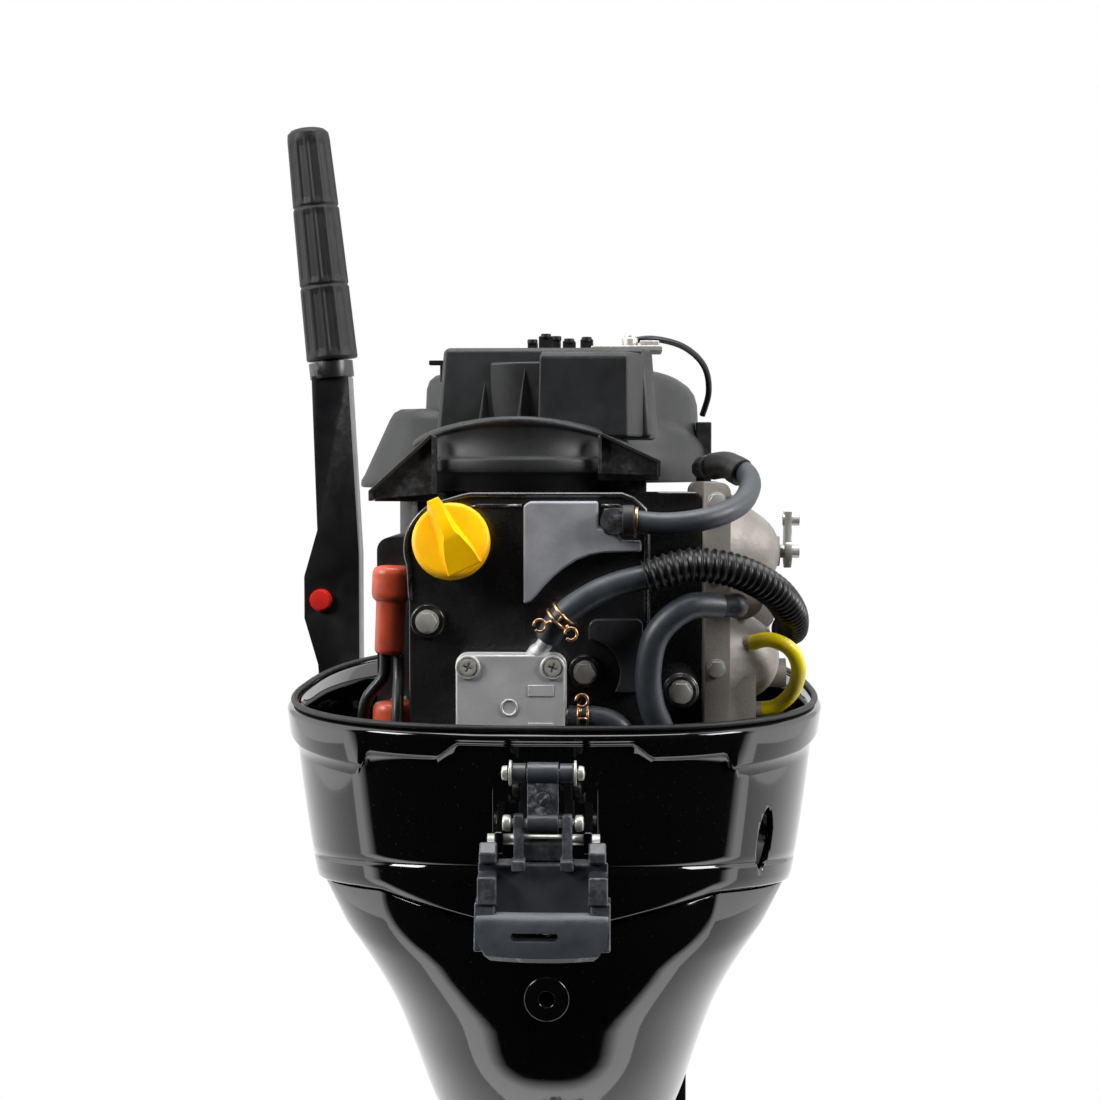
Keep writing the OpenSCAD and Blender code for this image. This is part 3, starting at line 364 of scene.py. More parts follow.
def between(value, table):
    """Straight-line lookup in (place, size) pairs, in rising order."""
    if value <= table[0][0]:
        return table[0][1]
    for (x0, y0), (x1, y1) in zip(table, table[1:]):
        if value <= x1:
            return y0 + (y1 - y0) * (value - x0) / (x1 - x0)
    return table[-1][1]


def outline_point(half, front, back, middle, power, z, angle):
    """Point of a superellipse seen from above, with its own reach to front and back."""
    c, s = math.cos(angle), math.sin(angle)
    reach = front - middle if s > 0 else middle - back
    return (half * math.copysign(abs(c) ** (2 / power), c),
            middle + reach * math.copysign(abs(s) ** (2 / power), s), z)


def outline(half, front, back, middle, power, z, sides):
    """The whole superellipse, anticlockwise."""
    return [outline_point(half, front, back, middle, power, z, 2 * math.pi * i / sides)
            for i in range(sides)]


def chamfer(obj, width, segments=3, angle=32):
    """Rounds a new piece's sharp edges."""
    bevel = obj.modifiers.new("round", "BEVEL")
    bevel.width = width * MM
    bevel.segments = segments
    bevel.limit_method = "ANGLE"
    bevel.angle_limit = math.radians(angle)
    bevel.harden_normals = True
    return obj


def cut(obj, verts, faces):
    """Cuts a shape out of a piece and keeps the result as its mesh."""
    mesh = bpy.data.meshes.new("cutter")
    mesh.from_pydata([tuple(c * MM for c in v) for v in verts], [], faces)
    cutter = bpy.data.objects.new("cutter", mesh)
    bpy.context.scene.collection.objects.link(cutter)
    boolean = obj.modifiers.new("cut", "BOOLEAN")
    boolean.object = cutter
    boolean.solver = "EXACT"
    depsgraph = bpy.context.evaluated_depsgraph_get()
    made = bpy.data.meshes.new_from_object(obj.evaluated_get(depsgraph))
    obj.modifiers.remove(boolean)
    obj.data = made
    bpy.data.objects.remove(cutter)
    return obj


def prism_faces(n):
    """Faces of a prism over an outline of n points, given near end first."""
    faces = [tuple(range(n)), tuple(range(2 * n - 1, n - 1, -1))]
    return faces + [((i + 1) % n, i, n + i, n + (i + 1) % n) for i in range(n)]


def slab(points, x0, x1):
    """A Y-Z outline made into a slab from x0 to x1."""
    return [(x, y, z) for x in (x0, x1) for y, z in points], prism_faces(len(points))


def face_plate(points, y0, y1):
    """An X-Z outline made into a plate from y0 to y1, y0 the farther aft."""
    return [(x, y, z) for y in (y0, y1) for x, z in points], prism_faces(len(points))


def tapered(levels):
    """Loft through (height, plan) pairs whose plans share their point count."""
    verts = [(x, y, z) for z, plan in levels for x, y in plan]
    return verts, ring_faces(len(levels), len(levels[0][1]))


def upright(plan, low, high):
    """Upright prism over a plan given as (x, y) points."""
    return tapered([(low, plan), (high, plan)])


def bar(a, b, radius, sides=32):
    """A round bar from point a to point b."""
    along = Vector(b) - Vector(a)
    return lathe([(0, 0), (radius, 0), (radius, along.length), (0, along.length)], a, along, sides)


# ---- Lower cowl and casing ----

SIDES = 400


def seam_z(x, y):
    """The joint between cowl and casing; it dips behind the latch."""
    if y > -200:
        return between(y, [(-200, 50), (-110, 62), (0, 62)])
    dip = 24 * max(0, 1 - abs(x) / 100) if y < -400 else 0
    return between(y, [(-480, 69), (-440, 66), (-370, 56), (-300, 52)]) - dip


def crease_z(x, y):
    """A shallow step in the cowl, a little above the joint."""
    return between(y, [(-480, 87), (-430, 80), (-300, 60), (-200, 60), (-110, 70)])


def cowl_taper(z):
    return max((z - 45) / (RIM_Z - 45), 0) ** 0.7


def cowl_sizes(z, inset):
    """The cowl's outline at a height: it widens from its foot to its rim."""
    t = cowl_taper(z)
    return (150 + (COWL_W / 2 - 154) * t - inset, COWL_FRONT - 16 + 12 * t - inset,
            COWL_BACK + 22 - 18 * t + inset, COWL_MID, COWL_POWER, z)


def cowl_ring(z, inset=0.0):
    return outline(*cowl_sizes(z, inset), SIDES)


def lip_ring(z, inset):
    return outline(COWL_W / 2 - inset, COWL_FRONT - inset, COWL_BACK + inset, COWL_MID, COWL_POWER,
                   z, SIDES)


def at_seam(ring, gap=0.0):
    return [(x, y, seam_z(x, y) + gap) for x, y, z in ring]


def cowl_level(place, inset=0.0):
    """A ring that follows the cowl's wall at a height given for each point."""
    return [outline_point(*cowl_sizes(place(x, y), inset), 2 * math.pi * i / SIDES)
            for i, (x, y, z) in enumerate(cowl_ring(COWL_MID_Z))]


def lip_low(x, y):
    """Lower edge of the lip: raised over the latch, lowered at the corners."""
    if y > COWL_MID:
        return 147.0
    return between(abs(x), [(50, 158), (60, 150), (103, 149.5), (106, 141), (150, 143), (168, 147)])


def lip_level(rise, inset):
    """A ring of the lip at a height above its lower edge."""
    return [(x, y, lip_low(x, y) + rise) for x, y, z in lip_ring(0, inset)]


def build_lower_cowl():
    outer = [cowl_level(seam_z, 2.2), cowl_level(lambda x, y: seam_z(x, y) + 0.2, 1.0),
             cowl_level(lambda x, y: seam_z(x, y) + 1.4)]
    outer += [cowl_level(lambda x, y: seam_z(x, y) + (crease_z(x, y) - seam_z(x, y)) * t)
              for t in (0.4, 0.8)]
    for rise, inset in ((-1.0, 0), (-0.5, 0.9), (0.3, 0.9), (0.8, 0.1)):
        outer.append(cowl_level(lambda x, y: crease_z(x, y) + rise, inset))
    wall_rows = 12
    for k in range(1, wall_rows + 1):
        t = k / wall_rows
        outer.append(cowl_level(
            lambda x, y: crease_z(x, y) + (lip_low(x, y) - 2 - crease_z(x, y)) * t, 0.1))
    rows = [lip_level(rise, inset)
            for rise, inset in ((-1.2, 5.0), (-0.5, 4.0), (0.2, 3.0), (1.0, 2.4), (2.0, 2.0))]
    for z, inset in ((160.6, 0.7), (162, 0.6), (163.4, 1.4), (164.2, 2.6), (164.6, 4.0)):
        rows.append(lip_ring(z, inset))
    rows += [lip_ring(165, 4.6), lip_ring(165, 7.0), cowl_ring(164, COWL_WALL + 2)]
    inner = [cowl_ring(z, COWL_WALL) for z in (150, 130, 110, 90, 78, 70)]
    inner.append(at_seam(cowl_ring(50, COWL_WALL)))
    shell = loft("cowl_shell", outer + rows + inner, "motor", "black_paint", ["lower_cowl"], looped=True)
    # Oval hole through the starboard flank
    hole = [(8 * math.cos(a), 19 * math.sin(a)) for a in (2 * math.pi * k / 40 for k in range(40))]
    aim = Vector((0.81, -0.587, 0)).normalized()
    across = Vector((0.587, 0.81, 0))
    centre = Vector((132, -430, 94))
    verts = []
    for depth in (-25, 20):
        verts += [centre + aim * depth + across * u + Vector((0, 0, v)) for u, v in hole]
    cut(shell, verts, ring_faces(2, len(hole)))
    shell.data.polygons.foreach_set("use_smooth", [True] * len(shell.data.polygons))
    # Floor pan and the mounts of the latch, shift lever and choke
    pan_rings = [cowl_ring(72, 3), cowl_ring(75, 3)]
    hole_rings = [[(max(min(x, 90), -86), max(min(y, -100), -405), z) for x, y, z in ring]
                  for ring in (pan_rings[1], pan_rings[0])]
    loft("cowl_floor", pan_rings + hole_rings, "motor", "black_paint", looped=True)
    ear = [(-470, 94), (LATCH[0] - 6, LATCH[1] - 7), (LATCH[0] - 7, LATCH[1] + 5),
           (LATCH[0] + 4, LATCH[1] + 8), (-476, 128)]
    parts = [slab(ear, x0, x1) for x0, x1 in ((-27, -22), (22, 27))]
    parts.append(slab([(-466, 84), (-479, 86), (-482, 136), (-470, 136)], -30, 30))
    parts.append(lathe(rounded([(6.05, 0), (12, 0), (12, 25), (6.05, 25)], 1), (108, -80, 85), (1, 0, 0)))
    parts.append(lathe(rounded([(4.05, 0), (9, 0), (9, 24), (4.05, 24)], 1), (-60, -24, 120), (0, -1, 0)))
    verts, faces = merge(parts)
    chamfer(piece("cowl_mounts", verts, faces, "motor", "black_paint", smooth=False), 1.2)


def build_cowl_seal():
    rings = []
    for k in range(16):
        a = -2 * math.pi * k / 16
        rings.append(lip_ring(RIM_Z + 1.9 + 1.8 * math.sin(a), 4.6 - 2.0 * math.cos(a)))
    loft("rim_seal", rings, "motor", "rubber", ["cowl_seal"], looped=True)


CASING_HALF = [(-420, 40), (-330, 41), (-240, 43), (-205, 51), (-170, 62), (-136, 75), (-102, 88),
               (-65, 97), (-29, 108), (0, 122), (26, 139), (46, 149.5), (68, 151)]


def soft_between(z, table, reach=12):
    """Lookup with its corners smoothed over a height of twice reach."""
    spots = [-1, -0.5, 0, 0.5, 1]
    return sum(between(z + reach * k, table) for k in spots) / len(spots)


def casing_ring(z, inset=0.0):
    half = soft_between(z, CASING_HALF)
    front = soft_between(z, [(-420, -100), (-200, -98), (-60, -102), (0, -104), (68, -106)])
    back = soft_between(z, [(-420, -275), (-240, -292), (-150, -350), (-60, -420), (0, -452), (40, -464),
                            (68, -466.5)])
    middle = soft_between(z, [(-260, -190), (-180, -196), (0, -270), (46, -290)])
    power = soft_between(z, [(-260, 2.0), (-180, 2.4)])
    return outline(half - inset, front - inset, back + inset, middle, power, z, SIDES)


def build_casing():
    heights = list(range(-420, -260, 16)) + list(range(-260, 36, 8))
    lid = at_seam(casing_ring(60), -1.5)
    rings = [casing_ring(-419.9, 5), casing_ring(-420, 1)] + [casing_ring(z) for z in heights]
    rings.append([(x, y, z - 1.2) for x, y, z in lid])
    rings += [at_seam(casing_ring(60, 1.2), -1.5), at_seam(casing_ring(60, 5), -1.5)]
    rings += [casing_ring(z, 5) for z in reversed(heights[2:])]
    loft("casing_shell", rings, "motor", "black_paint", ["upper_casing"], looped=True)
    boss = rounded([(4.5, 12), (4.5, 0), (13, 0), (15, 14)], 1.2)
    boss = lathe([(r, -h) for r, h in boss], (0, -460, 6), (0, -1, 0))
    chamfer(piece("casing_boss", *boss, "motor", "black_paint"), 0.6)
    yoke = bar((0, STEER_Y, -214), (0, STEER_Y, -194), 26, 48)
    plate = [casing_ring(38, 3), casing_ring(FOOT_Z, 3)]
    deck = ([p for ring in plate for p in ring], ring_faces(2, SIDES))
    arm = slab([(-112, -214), (-112, -194), (STEER_Y, -194), (STEER_Y, -214)], -26, 26)
    verts, faces = merge([deck, yoke, arm])
    chamfer(piece("casing_mounts", verts, faces, "motor", "black_paint", smooth=False), 1.2)


# ---- Covers above the engine ----

DRUM = (-19, -372)
DRUM_TOP = 342.6
CROWN_R = 172
CROWN_REACH = 80


def crown(x, top):
    """Height of a crowned lid that falls away to the sides of the belt cover."""
    reach = min(abs(x - DRUM[0]), CROWN_REACH)
    return top - CROWN_R + math.sqrt(CROWN_R ** 2 - reach ** 2)


def drum_ring(radius, height, crowned=False, sides=160):
    ring = []
    for k in range(sides):
        a = 2 * math.pi * k / sides
        x, y = DRUM[0] + radius * math.cos(a), DRUM[1] + radius * math.sin(a)
        ring.append((x, y, crown(x, height) if crowned else height))
    return ring


def build_belt_cover():
    wall = [(57, 298.6), (60, 298.6), (60, 309), (65.5, 309.6), (66.6, 310.4), (66.8, 312),
            (66.8, 316.6), (66.4, 317.8), (65.2, 318.4), (64.2, 319.4)]
    lid = [(64.0, 336.6), (64.4, 337.6), (65.8, 338.2), (66.6, 339.2), (66.4, 340.8), (65.2, 342.0),
           (63.0, DRUM_TOP), (40, DRUM_TOP), (20, DRUM_TOP), (4, DRUM_TOP)]
    rings = [drum_ring(r, z) for r, z in wall] + [drum_ring(r, z, True) for r, z in lid]
    loft("belt_drum", rings, "motor", "black_plastic", ["belt_cover"])
    parts = [face_plate([(-66, 331), (-69, 331.6), (-104, 299), (-104, 294), (-66, 297)], -426, -421),
             face_plate([(29, 331.6), (32, 332), (64, 316.4), (64.5, 308), (29, 309)], -426, -421)]
    for edge in ([(-67, 331.4), (-69.6, 332.2), (-106, 299), (-106, 293), (-103.6, 293), (-103.6, 298)],
                 [(29.6, 331.4), (31.6, 332.8), (65.8, 316.8), (65.8, 307.4), (63.6, 307.4),
                  (63.6, 315.4)]):
        parts.append(face_plate(edge, -430, -421))
    parts.append(face_plate([(-68.6, 331), (-66.4, 331), (-66.4, 297), (-68.6, 297)], -430, -421))
    parts.append(face_plate([(29, 331), (31, 331), (31, 309), (29, 309)], -430, -421))
    ear = [(-106, -396), (-104, -418), (-66, -421), (-40, -400), (-40, -330), (-106, -330)]
    parts.append(upright(ear, 292.5, 297.5))
    parts.append(upright([(20, -400), (29, -419), (65, -419), (66, -330), (20, -330)], 305, 309.6))
    parts.append(upright([(20, -388), (58, -388), (58, -350), (20, -350)], 296, 306))
    chamfer(piece("belt_wings", *merge(parts), "motor", "black_plastic"), 0.5)


def build_silencer():
    def plan(grow):
        return [(-65 - grow, -390 - grow), (56 + grow, -390 - grow), (61 + grow, -378),
                (61 + grow, -292 + grow), (-65 - grow, -292 + grow)]

    body = tapered([(330, plan(4.5)), (342, plan(3.4)), (382, plan(0.2)), (385, plan(-0.8))])
    chamfer(piece("silencer_box", *body, "motor", "black_plastic", ["air_silencer"]), 3.0, 5)
    step_plan = [(-37, -386), (-37, -391.5), (-30, -396), (-20, -399), (-5, -401), (-5, -386)]
    chamfer(piece("silencer_step", *upright(step_plan, 331, 376), "motor", "black_plastic"), 1.6, 4)
    front = tapered([(331, [(-7, -415), (46.5, -415), (62, -380), (-7, -380)]),
                     (378, [(-6, -413), (46, -413), (60.5, -380), (-6, -380)]),
                     (381.5, [(-5, -410.5), (45, -410.5), (59, -380), (-5, -380)])])
    chamfer(piece("silencer_panel", *front, "motor", "black_plastic"), 1.4, 4)
    parts = []
    for x, back, top in ((-39, -389, 373), (-15, -399, 376)):
        verts = [(x, back, top), (x - 5, back - 12, 333), (x - 3.4, back - 12, 333), (x + 5.4, back, 333),
                 (x - 7, back, 333)]
        parts.append((verts, [(0, 2, 1), (0, 3, 2), (0, 1, 4), (1, 2, 3, 4), (0, 4, 3)]))
    chamfer(piece("silencer_ribs", *merge(parts), "motor", "black_plastic"), 0.4)
    parts = [upright([(-78, -352), (-60, -352), (-60, -346), (-78, -346)], 376.5, 379.5),
             upright([(-71, -352), (-62, -352), (-62, -346), (-71, -346)], 366, 378)]
    for x, wide, tall in ((-16, 6, 391), (-9, 9, 394.5), (-0.5, 5, 393), (6, 8, 391.5), (17, 8, 392.5)):
        parts.append(upright([(x, -352), (x + wide, -352), (x + wide, -338), (x, -338)], 383, tall))
        parts.append(lathe(rounded([(0, 0), (3.2, 0), (3.2, 3), (0, 3)], 0.8),
                           (x + wide / 2, -350, tall - 1.5), (0, 0, 1), 24))
    chamfer(piece("silencer_plugs", *merge(parts), "motor", "rubber"), 0.7)
    parts = [upright([(24, -372), (68, -372), (68, -330), (24, -330)], 384, 387.2),
             lathe(rounded([(0, 0), (5, 0), (5, 6), (3.4, 6), (3.4, 8), (0, 8)], 0.8),
                   (48, -352, 387), (0, 0, 1), 32),
             upright([(54, -360), (66, -360), (66, -346), (54, -346)], 386, 391)]
    chamfer(piece("silencer_bridge", *merge(parts), "motor", "zinc", slot="black_plastic"), 0.6)


HOOD = (0, -165)
HOOD_TOP = 379.4
DROOP_FROM_X = 58


def hood_ring(radius, height, droop=0.0075, sides=200):
    ring = []
    for k in range(sides):
        a = 2 * math.pi * k / sides
        x, y = HOOD[0] + radius * math.cos(a), HOOD[1] + radius * math.sin(a)
        ring.append((x, y, height - droop * max(0.0, x - DROOP_FROM_X) ** 2))
    return ring


def build_hood():
    rings = [hood_ring(r, z, 0) for r, z in ((60, 301.5), (104, 301.5), (108, 302), (109, 303.4))]
    tiers = [(109, 324.5), (107.4, 326), (106.8, 338), (105.6, 341), (102.6, 343.4), (99.6, 345),
             (99, 347), (98, 368), (96, 374), (92, 377.4), (86, 379), (60, HOOD_TOP), (20, HOOD_TOP),
             (2, HOOD_TOP)]
    rings += [hood_ring(r, z) for r, z in tiers]
    loft("hood_shell", rings, "motor", "black_plastic", ["flywheel_cover"])
    duct = [(0, 298), (46, 298), (47.4, 299), (47, 303), (45, 306), (27, 345), (24, 350), (19.5, 352.6),
            (0, 353.4)]
    piece("starter_hood", *lathe(duct, (-93.2, -208, 0), (0, 0, 1), 96), "motor", "black_plastic")
    lug = upright([(96, -196), (107, -196), (107, -188), (96, -188)], 312, 344)
    chamfer(piece("hood_lug", *lug, "motor", "black_plastic"), 1.0)


# ---- Hoses and leads ----

BREATHER = [(46.2, -466, 283), (68, -467, 281), (92, -462, 284), (110, -446, 291), (118, -424, 301),
            (117, -406, 309), (110, -396, 312.5)]
PUMP = [(1, -470, 216), (9, -475, 229), (24, -475, 240), (40, -472, 247), (60, -471, 252)]
RETURN = [(13, -465, 171), (30, -466, 170.5), (41, -466, 166), (47, -465, 155), (47, -463, 141),
          (46, -461, 127)]
CONDUIT = [(56, -471, 251), (82, -470, 258), (108, -462, 254), (130, -444, 242), (142, -420, 228),
           (146, -392, 216), (146, -360, 212)]
DRAIN = [(99, -461.6, 234), (80, -470, 234), (63, -470, 219), (58, -468, 197), (60, -466, 178),
         (66, -462, 162), (67, -460.5, 149.5)]
TELLTALE = [(119, -423.4, 209.2), (129, -429, 212), (141, -430, 207), (147, -424, 195), (145, -413, 180),
            (136, -407, 170), (126.4, -406, 168)]
CABLE = [(46, -352, 390.5), (62, -346, 393), (82, -330, 389), (96, -310, 378), (100, -296, 362),
         (96, -290, 346)]
LEADS = [
    [(-96, -432, 204), (-97, -432.5, 190), (-107, -434, 176), (-109.5, -431, 158), (-109, -424, 130),
     (-108, -418, 106)],
    [(-92, -432, 124), (-92, -432.2, 115), (-92, -432, 106)],
    [(-88, -434, 203), (-87.5, -438, 190), (-87, -449, 172), (-87, -452, 150), (-87, -450, 120),
     (-87, -445, 96), (-87, -444, 83)],
]


def corrugated(radius, pitch, height):
    """Radius of a ribbed tube as a function of the distance along it."""
    def size(along):
        return radius - height * (0.5 - 0.5 * math.cos(2 * math.pi * along / pitch)) ** 0.6
    return size


def build_hoses():
    for name, runs, look, node in (
            ("breather_tube", [(BREATHER, 6.4)], "grey_hose", "breather_hose"),
            ("pump_tube", [(PUMP, 7.2), (RETURN, 6.5)], "grey_hose", "pump_hose"),
            ("drain_tube", [(DRAIN, 7.5)], "grey_hose", "drain_hose"),
            ("telltale_tube", [(TELLTALE, 4.5)], "yellow_hose", "telltale_hose"),
            ("cable_tube", [(CABLE, 2.0)], "black_hose", "control_cable")):
        hose = merge([tube(even_path(route, 2.5), radius, 28) for route, radius in runs])
        chamfer(piece(name, *hose, "motor", look, [node]), 0.5, 2, 60)
    elbow = tube(even_path([(112.5, -399, 311), (106, -391, 314), (97.4, -383, 313)], 2), 8.2, 28)
    ring = lathe(rounded([(6.5, 0), (8.6, 0), (8.6, 7), (6.5, 7)], 0.8), (114.6, -403.5, 309.4),
                 (-0.62, 0.68, 0.36))
    chamfer(piece("breather_end", *merge([elbow, ring]), "motor", "rubber"), 0.6)
    conduit = tube(even_path(CONDUIT, 0.44), corrugated(10, 4.4, 1.7), 48)
    piece("conduit_tube", *conduit, "motor", "black_hose", ["hose_conduit"])
    leads = merge([tube(even_path(route, 2), 3.5, 20) for route in LEADS])
    piece("lead_wires", *leads, "motor", "black_hose", ["plug_leads"])


def arc(x, z, r, start, end, steps=16):
    """Points on a circle's arc, angles in degrees."""
    out = []
    for k in range(steps + 1):
        a = math.radians(start + (end - start) * k / steps)
        out.append((x + r * math.cos(a), z + r * math.sin(a)))
    return out


def build_valve_cover():
    back, front = COVER_BACK, -392
    body = [(-80, 96), (-80, 255.6)] + arc(-54, 266, 28, 201, 98)
    body += [(-48, 297), (43, 297.6), (49, 295.4), (56, 289), (57.5, 285), (57.5, 96)]
    flange = [(-84, 94), (-84, 254)] + arc(-54, 266, 32, 201, 98)
    flange += [(-48, 298), (48, 298), (88, 298), (91, 295), (91, 94)]
    chamber = [(-13, 235), (-9, 236.5), (-6, 239.5), (-1, 245.5), (4.5, 251), (10, 255.5), (17, 260),
               (25, 263), (33, 264.4), (54, 265), (54, 271), (43, 271), (40, 275), (35, 277.3),
               (30, 278.4), (29.4, 281), (29.4, 293.5), (-10, 293.5), (-13, 291)]
    shelf = [(24, 214), (24, 222)] + arc(29, 221, 5, 160, 90, 6)
    shelf += [(53, 226), (55, 224), (55, 184), (39, 184)]
    shelf += arc(22, 195, 20, -28, 80, 12)
    parts = [face_plate(body, back, front), face_plate(flange, front - 8, front)]
    rib = [(55, 286), (59.5, 286), (59.5, 96), (55, 96)]
    parts.append(face_plate(rib, back + 8, front))
    for z in (184, 112):
        parts.append(lathe([(0, 0), (10.5, 0), (11.5, back - front), (0, back - front)],
                           (77, back, z), (0, -1, 0)))
    chamfer(piece("cover_body", *merge(parts), "motor", "cover_paint", ["valve_cover"]), 1.6, 4)
    # The breather box gets the light grey painted reflection instead of the cover's own dark paint.
    chamfer(piece("breather_box", *face_plate(chamber, back - 14, back + 1), "motor", "worn_paint",
                  slot="cover_paint"), 1.5, 4)
    chamfer(piece("baffle_box", *face_plate(shelf, back - 9, back + 1), "motor", "satin_paint",
                  slot="cover_paint"), 1.8, 4)
    parts = []
    for x, z, r, h in ((-69, 224, 10.5, 3), (22, 195, 10.5, 3), (77, 184, 10, 3), (-69, 112, 9, 1),
                       (77, 112, 9, 1)):
        parts.append(lathe(rounded([(0, 0), (r, 0), (r - 1, h), (0, h)], 0.7), (x, back, z), (0, -1, 0)))
    bead = [(-79, 236), (-79.5, 250)] + arc(-54, 266, 27.5, 200, 100, 20)
    bead += [(-48, 296.2), (-44, 297), (43, 297), (49, 294.6), (56, 288.4), (57, 284), (57, 200)]
    second = [(-44, 289.6), (-40, 290.8), (-14.5, 291)]
    third = [(31, 291), (41, 290.8), (46, 288), (50.5, 283), (50.5, 272)]
    for route, radius in ((bead, 1.6), (second, 1.2), (third, 1.2)):
        parts.append(tube([Vector((x, back - 0.2, z)) for x, z in route], radius, 12))
    piece("cover_beads", *merge(parts), "motor", "cover_paint")
    block = [(32.5, 275.5), (43, 275.5), (44, 277), (44, 289.5), (32.5, 289.5)]
    elbow = [face_plate(block, back - 16, back), bar((43, -466, 283), (50, -466, 283), 8.6)]
    chamfer(piece("breather_elbow", *merge(elbow), "motor", "black_plastic"), 1.6, 4)
    ring = rounded([(6, 0), (8, 0), (8, 1.8), (6, 1.8)], 0.5)
    piece("breather_ring", *lathe(ring, (50, -466, 282.8), (1, -0.03, -0.06)), "motor", "brass")


def build_fuel_pump():
    x, z, half = -20, 176, 31

    def square(size, r):
        """Rounded square about the pump's middle."""
        out = []
        for sx, sz, a in ((1, 1, 0), (-1, 1, 90), (-1, -1, 180), (1, -1, 270)):
            out += arc(x + sx * (size - r), z + sz * (size - r), r, a, a + 90, 8)
        return out
    top = COVER_BACK - 23
    parts = [face_plate(square(half - 1.5, 6), -462, COVER_BACK - 2)]
    parts.append(face_plate(square(half + 0.6, 7), -466, -461.6))
    chamfer(piece("pump_base", *merge(parts), "motor", "aluminium", ["fuel_pump"]), 0.7)
    chamfer(piece("pump_plate", *face_plate(square(half, 7), top, -466.4), "motor", "aluminium"), 1.3, 4)
    parts = []
    for sx in (-24, 24):
        for sz in (-24, 24):
            ring = [(2.5, 0), (7.2, 0), (7.0, 1.9), (6.2, 2.4), (5.4, 2.0), (5.2, 0.7), (2.5, 0.7)]
            parts.append(lathe(rounded(ring, 0.4, 3), (x + sx, top + 0.3, z + sz), (0, -1, 0)))
    ring = [(0, 0), (5.0, 0), (4.8, 0.9), (3.9, 0.9), (3.7, 0.3), (0, 0.3)]
    parts.append(lathe(rounded(ring, 0.25, 3), (x - 0.7, top + 0.1, z + 1), (0, -1, 0)))
    for z0 in (183.5, 162):
        pad = [(-10, z0), (4.5, z0), (4.5, z0 + 6.4), (-10, z0 + 6.4)]
        parts.append(face_plate(pad, top - 0.6, top + 0.3))
    parts.append(lathe(rounded([(0, 0), (6.4, 0), (6.2, 5), (4.6, 8), (4.6, 14), (0, 14)], 0.7),
                       (-6.2, -465.5, 204.3), (0.498, -0.311, 0.81)))
    parts.append(bar((6, -465, 171), (15, -465, 171), 4.4))
    chamfer(piece("pump_bosses", *merge(parts), "motor", "aluminium"), 0.35, 2, 40)


def circle_path(centre, axis, radius, start=0, end=360, steps=48):
    """Points around an axis, angles in degrees."""
    axis = Vector(axis).normalized()
    side = axis.orthogonal().normalized()
    other = axis.cross(side)
    out = []
    for k in range(steps + 1):
        a = math.radians(start + (end - start) * k / steps)
        out.append(Vector(centre) + radius * (side * math.cos(a) + other * math.sin(a)))
    return out


def build_clips():
    wire = 0.85
    parts = []
    turns = (-2.6, 2.6)
    for centre, axis, radius in (((9, -475, 229), (0.684, -0.149, 0.714), 8.2),
                                 ((21, -465.4, 171), (1, 0, 0), 7.5)):
        axis = Vector(axis).normalized()
        for shift in turns:
            parts.append(tube(circle_path(Vector(centre) + axis * shift, axis, radius), wire, 12))
        bridge = [Vector(centre) + axis * shift + Vector((0, -radius, 0)) for shift in turns]
        parts.append(tube(bridge, wire, 12))
    # Loops that pliers squeeze
    for centre, stem in (((-3, -482, 224.5), (3.5, -482.6, 227)), ((14.5, -483.5, 220), (12, -483, 225)),
                         ((20.5, -474.5, 181.5), (19, -473.5, 172))):
        parts.append(tube(circle_path(centre, (0.15, -1, 0.1), 3.4, 0, 320, 32), wire, 12))
        reach = Vector(stem) - Vector(centre)
        parts.append(tube([Vector(centre) + reach * k for k in (0.45, 1)], wire, 12))
    piece("clip_wires", *merge(parts), "motor", "brass", ["hose_clips"])


CAP = (-54, -452, 266)
CAP_TILT = math.radians(20)
CAP_AXIS = Vector((0, -math.cos(CAP_TILT), math.sin(CAP_TILT)))
CAP_UP = Vector((0, math.sin(CAP_TILT), math.cos(CAP_TILT)))


def build_oil_cap():
    disc = [(0, 0), (11, 0), (11, 10.2), (21.4, 10.2), (22.2, 11.2), (22.2, 17.4), (21.4, 19.0),
            (19.8, 19.6), (0, 19.6)]
    piece("cap_disc", *lathe(rounded(disc, 0.7), CAP, CAP_AXIS, 96), "cap", "yellow_plastic", ["oil_cap"])
    turn = math.radians(-64)
    along = Vector((1, 0, 0)) * math.cos(turn) + CAP_UP * math.sin(turn)
    over = CAP_AXIS.cross(along)
    stations = [(-22.5, 3.4, 4.6, 29.5, 13), (-21.5, 3.4, 5.2, 31.5, 18), (-10, 3.2, 6.4, 31.5, 18.5),
                (1, 3.4, 8.2, 31, 18.5), (4, 5.4, 9.2, 29.5, 18.5), (12, 8.4, 10.2, 24.6, 18.5),
                (20, 9.8, 10.6, 20, 18.5)]
    verts = []
    for u, half_top, half_base, high, low in stations:
        for v, h in ((-half_base, low), (-half_top, high), (half_top, high), (half_base, low)):
            verts.append(Vector(CAP) + along * u + over * v + CAP_AXIS * h)
    grip = piece("cap_grip", verts, ring_faces(len(stations), 4), "cap", "yellow_plastic")
    chamfer(grip, 1.0, 4, 25)


def build_boots():
    parts = []
    for z in (246, 166):
        foot = [(0, -43), (7.2, -43), (8.6, -41), (8.8, -12), (10.8, -10.5), (11.6, -8), (11.6, 5),
                (10.2, 8), (6, 9.2), (0, 9.4)]
        parts.append(lathe(rounded(foot, 1.6), (-92, -432, z), (0.04, 0.03, 1)))
        arm = [(0, -4), (10.2, -4), (10.6, 8), (9.2, 10), (9.2, 22), (10.4, 23.5), (10.4, 30), (4.6, 30),
               (4.6, 26)]
        parts.append(lathe(rounded(arm, 1.2), (-92, -432, z - 3), (0, 1, 0)))
    piece("boot_bodies", *merge(parts), "motor", "red_rubber", ["plug_boots"])


GRIP_BASE = Vector((-193, 0, 399))
GRIP_LEAN = math.radians(5.9)
GRIP_AXIS = Vector((-math.sin(GRIP_LEAN), 0, math.cos(GRIP_LEAN)))


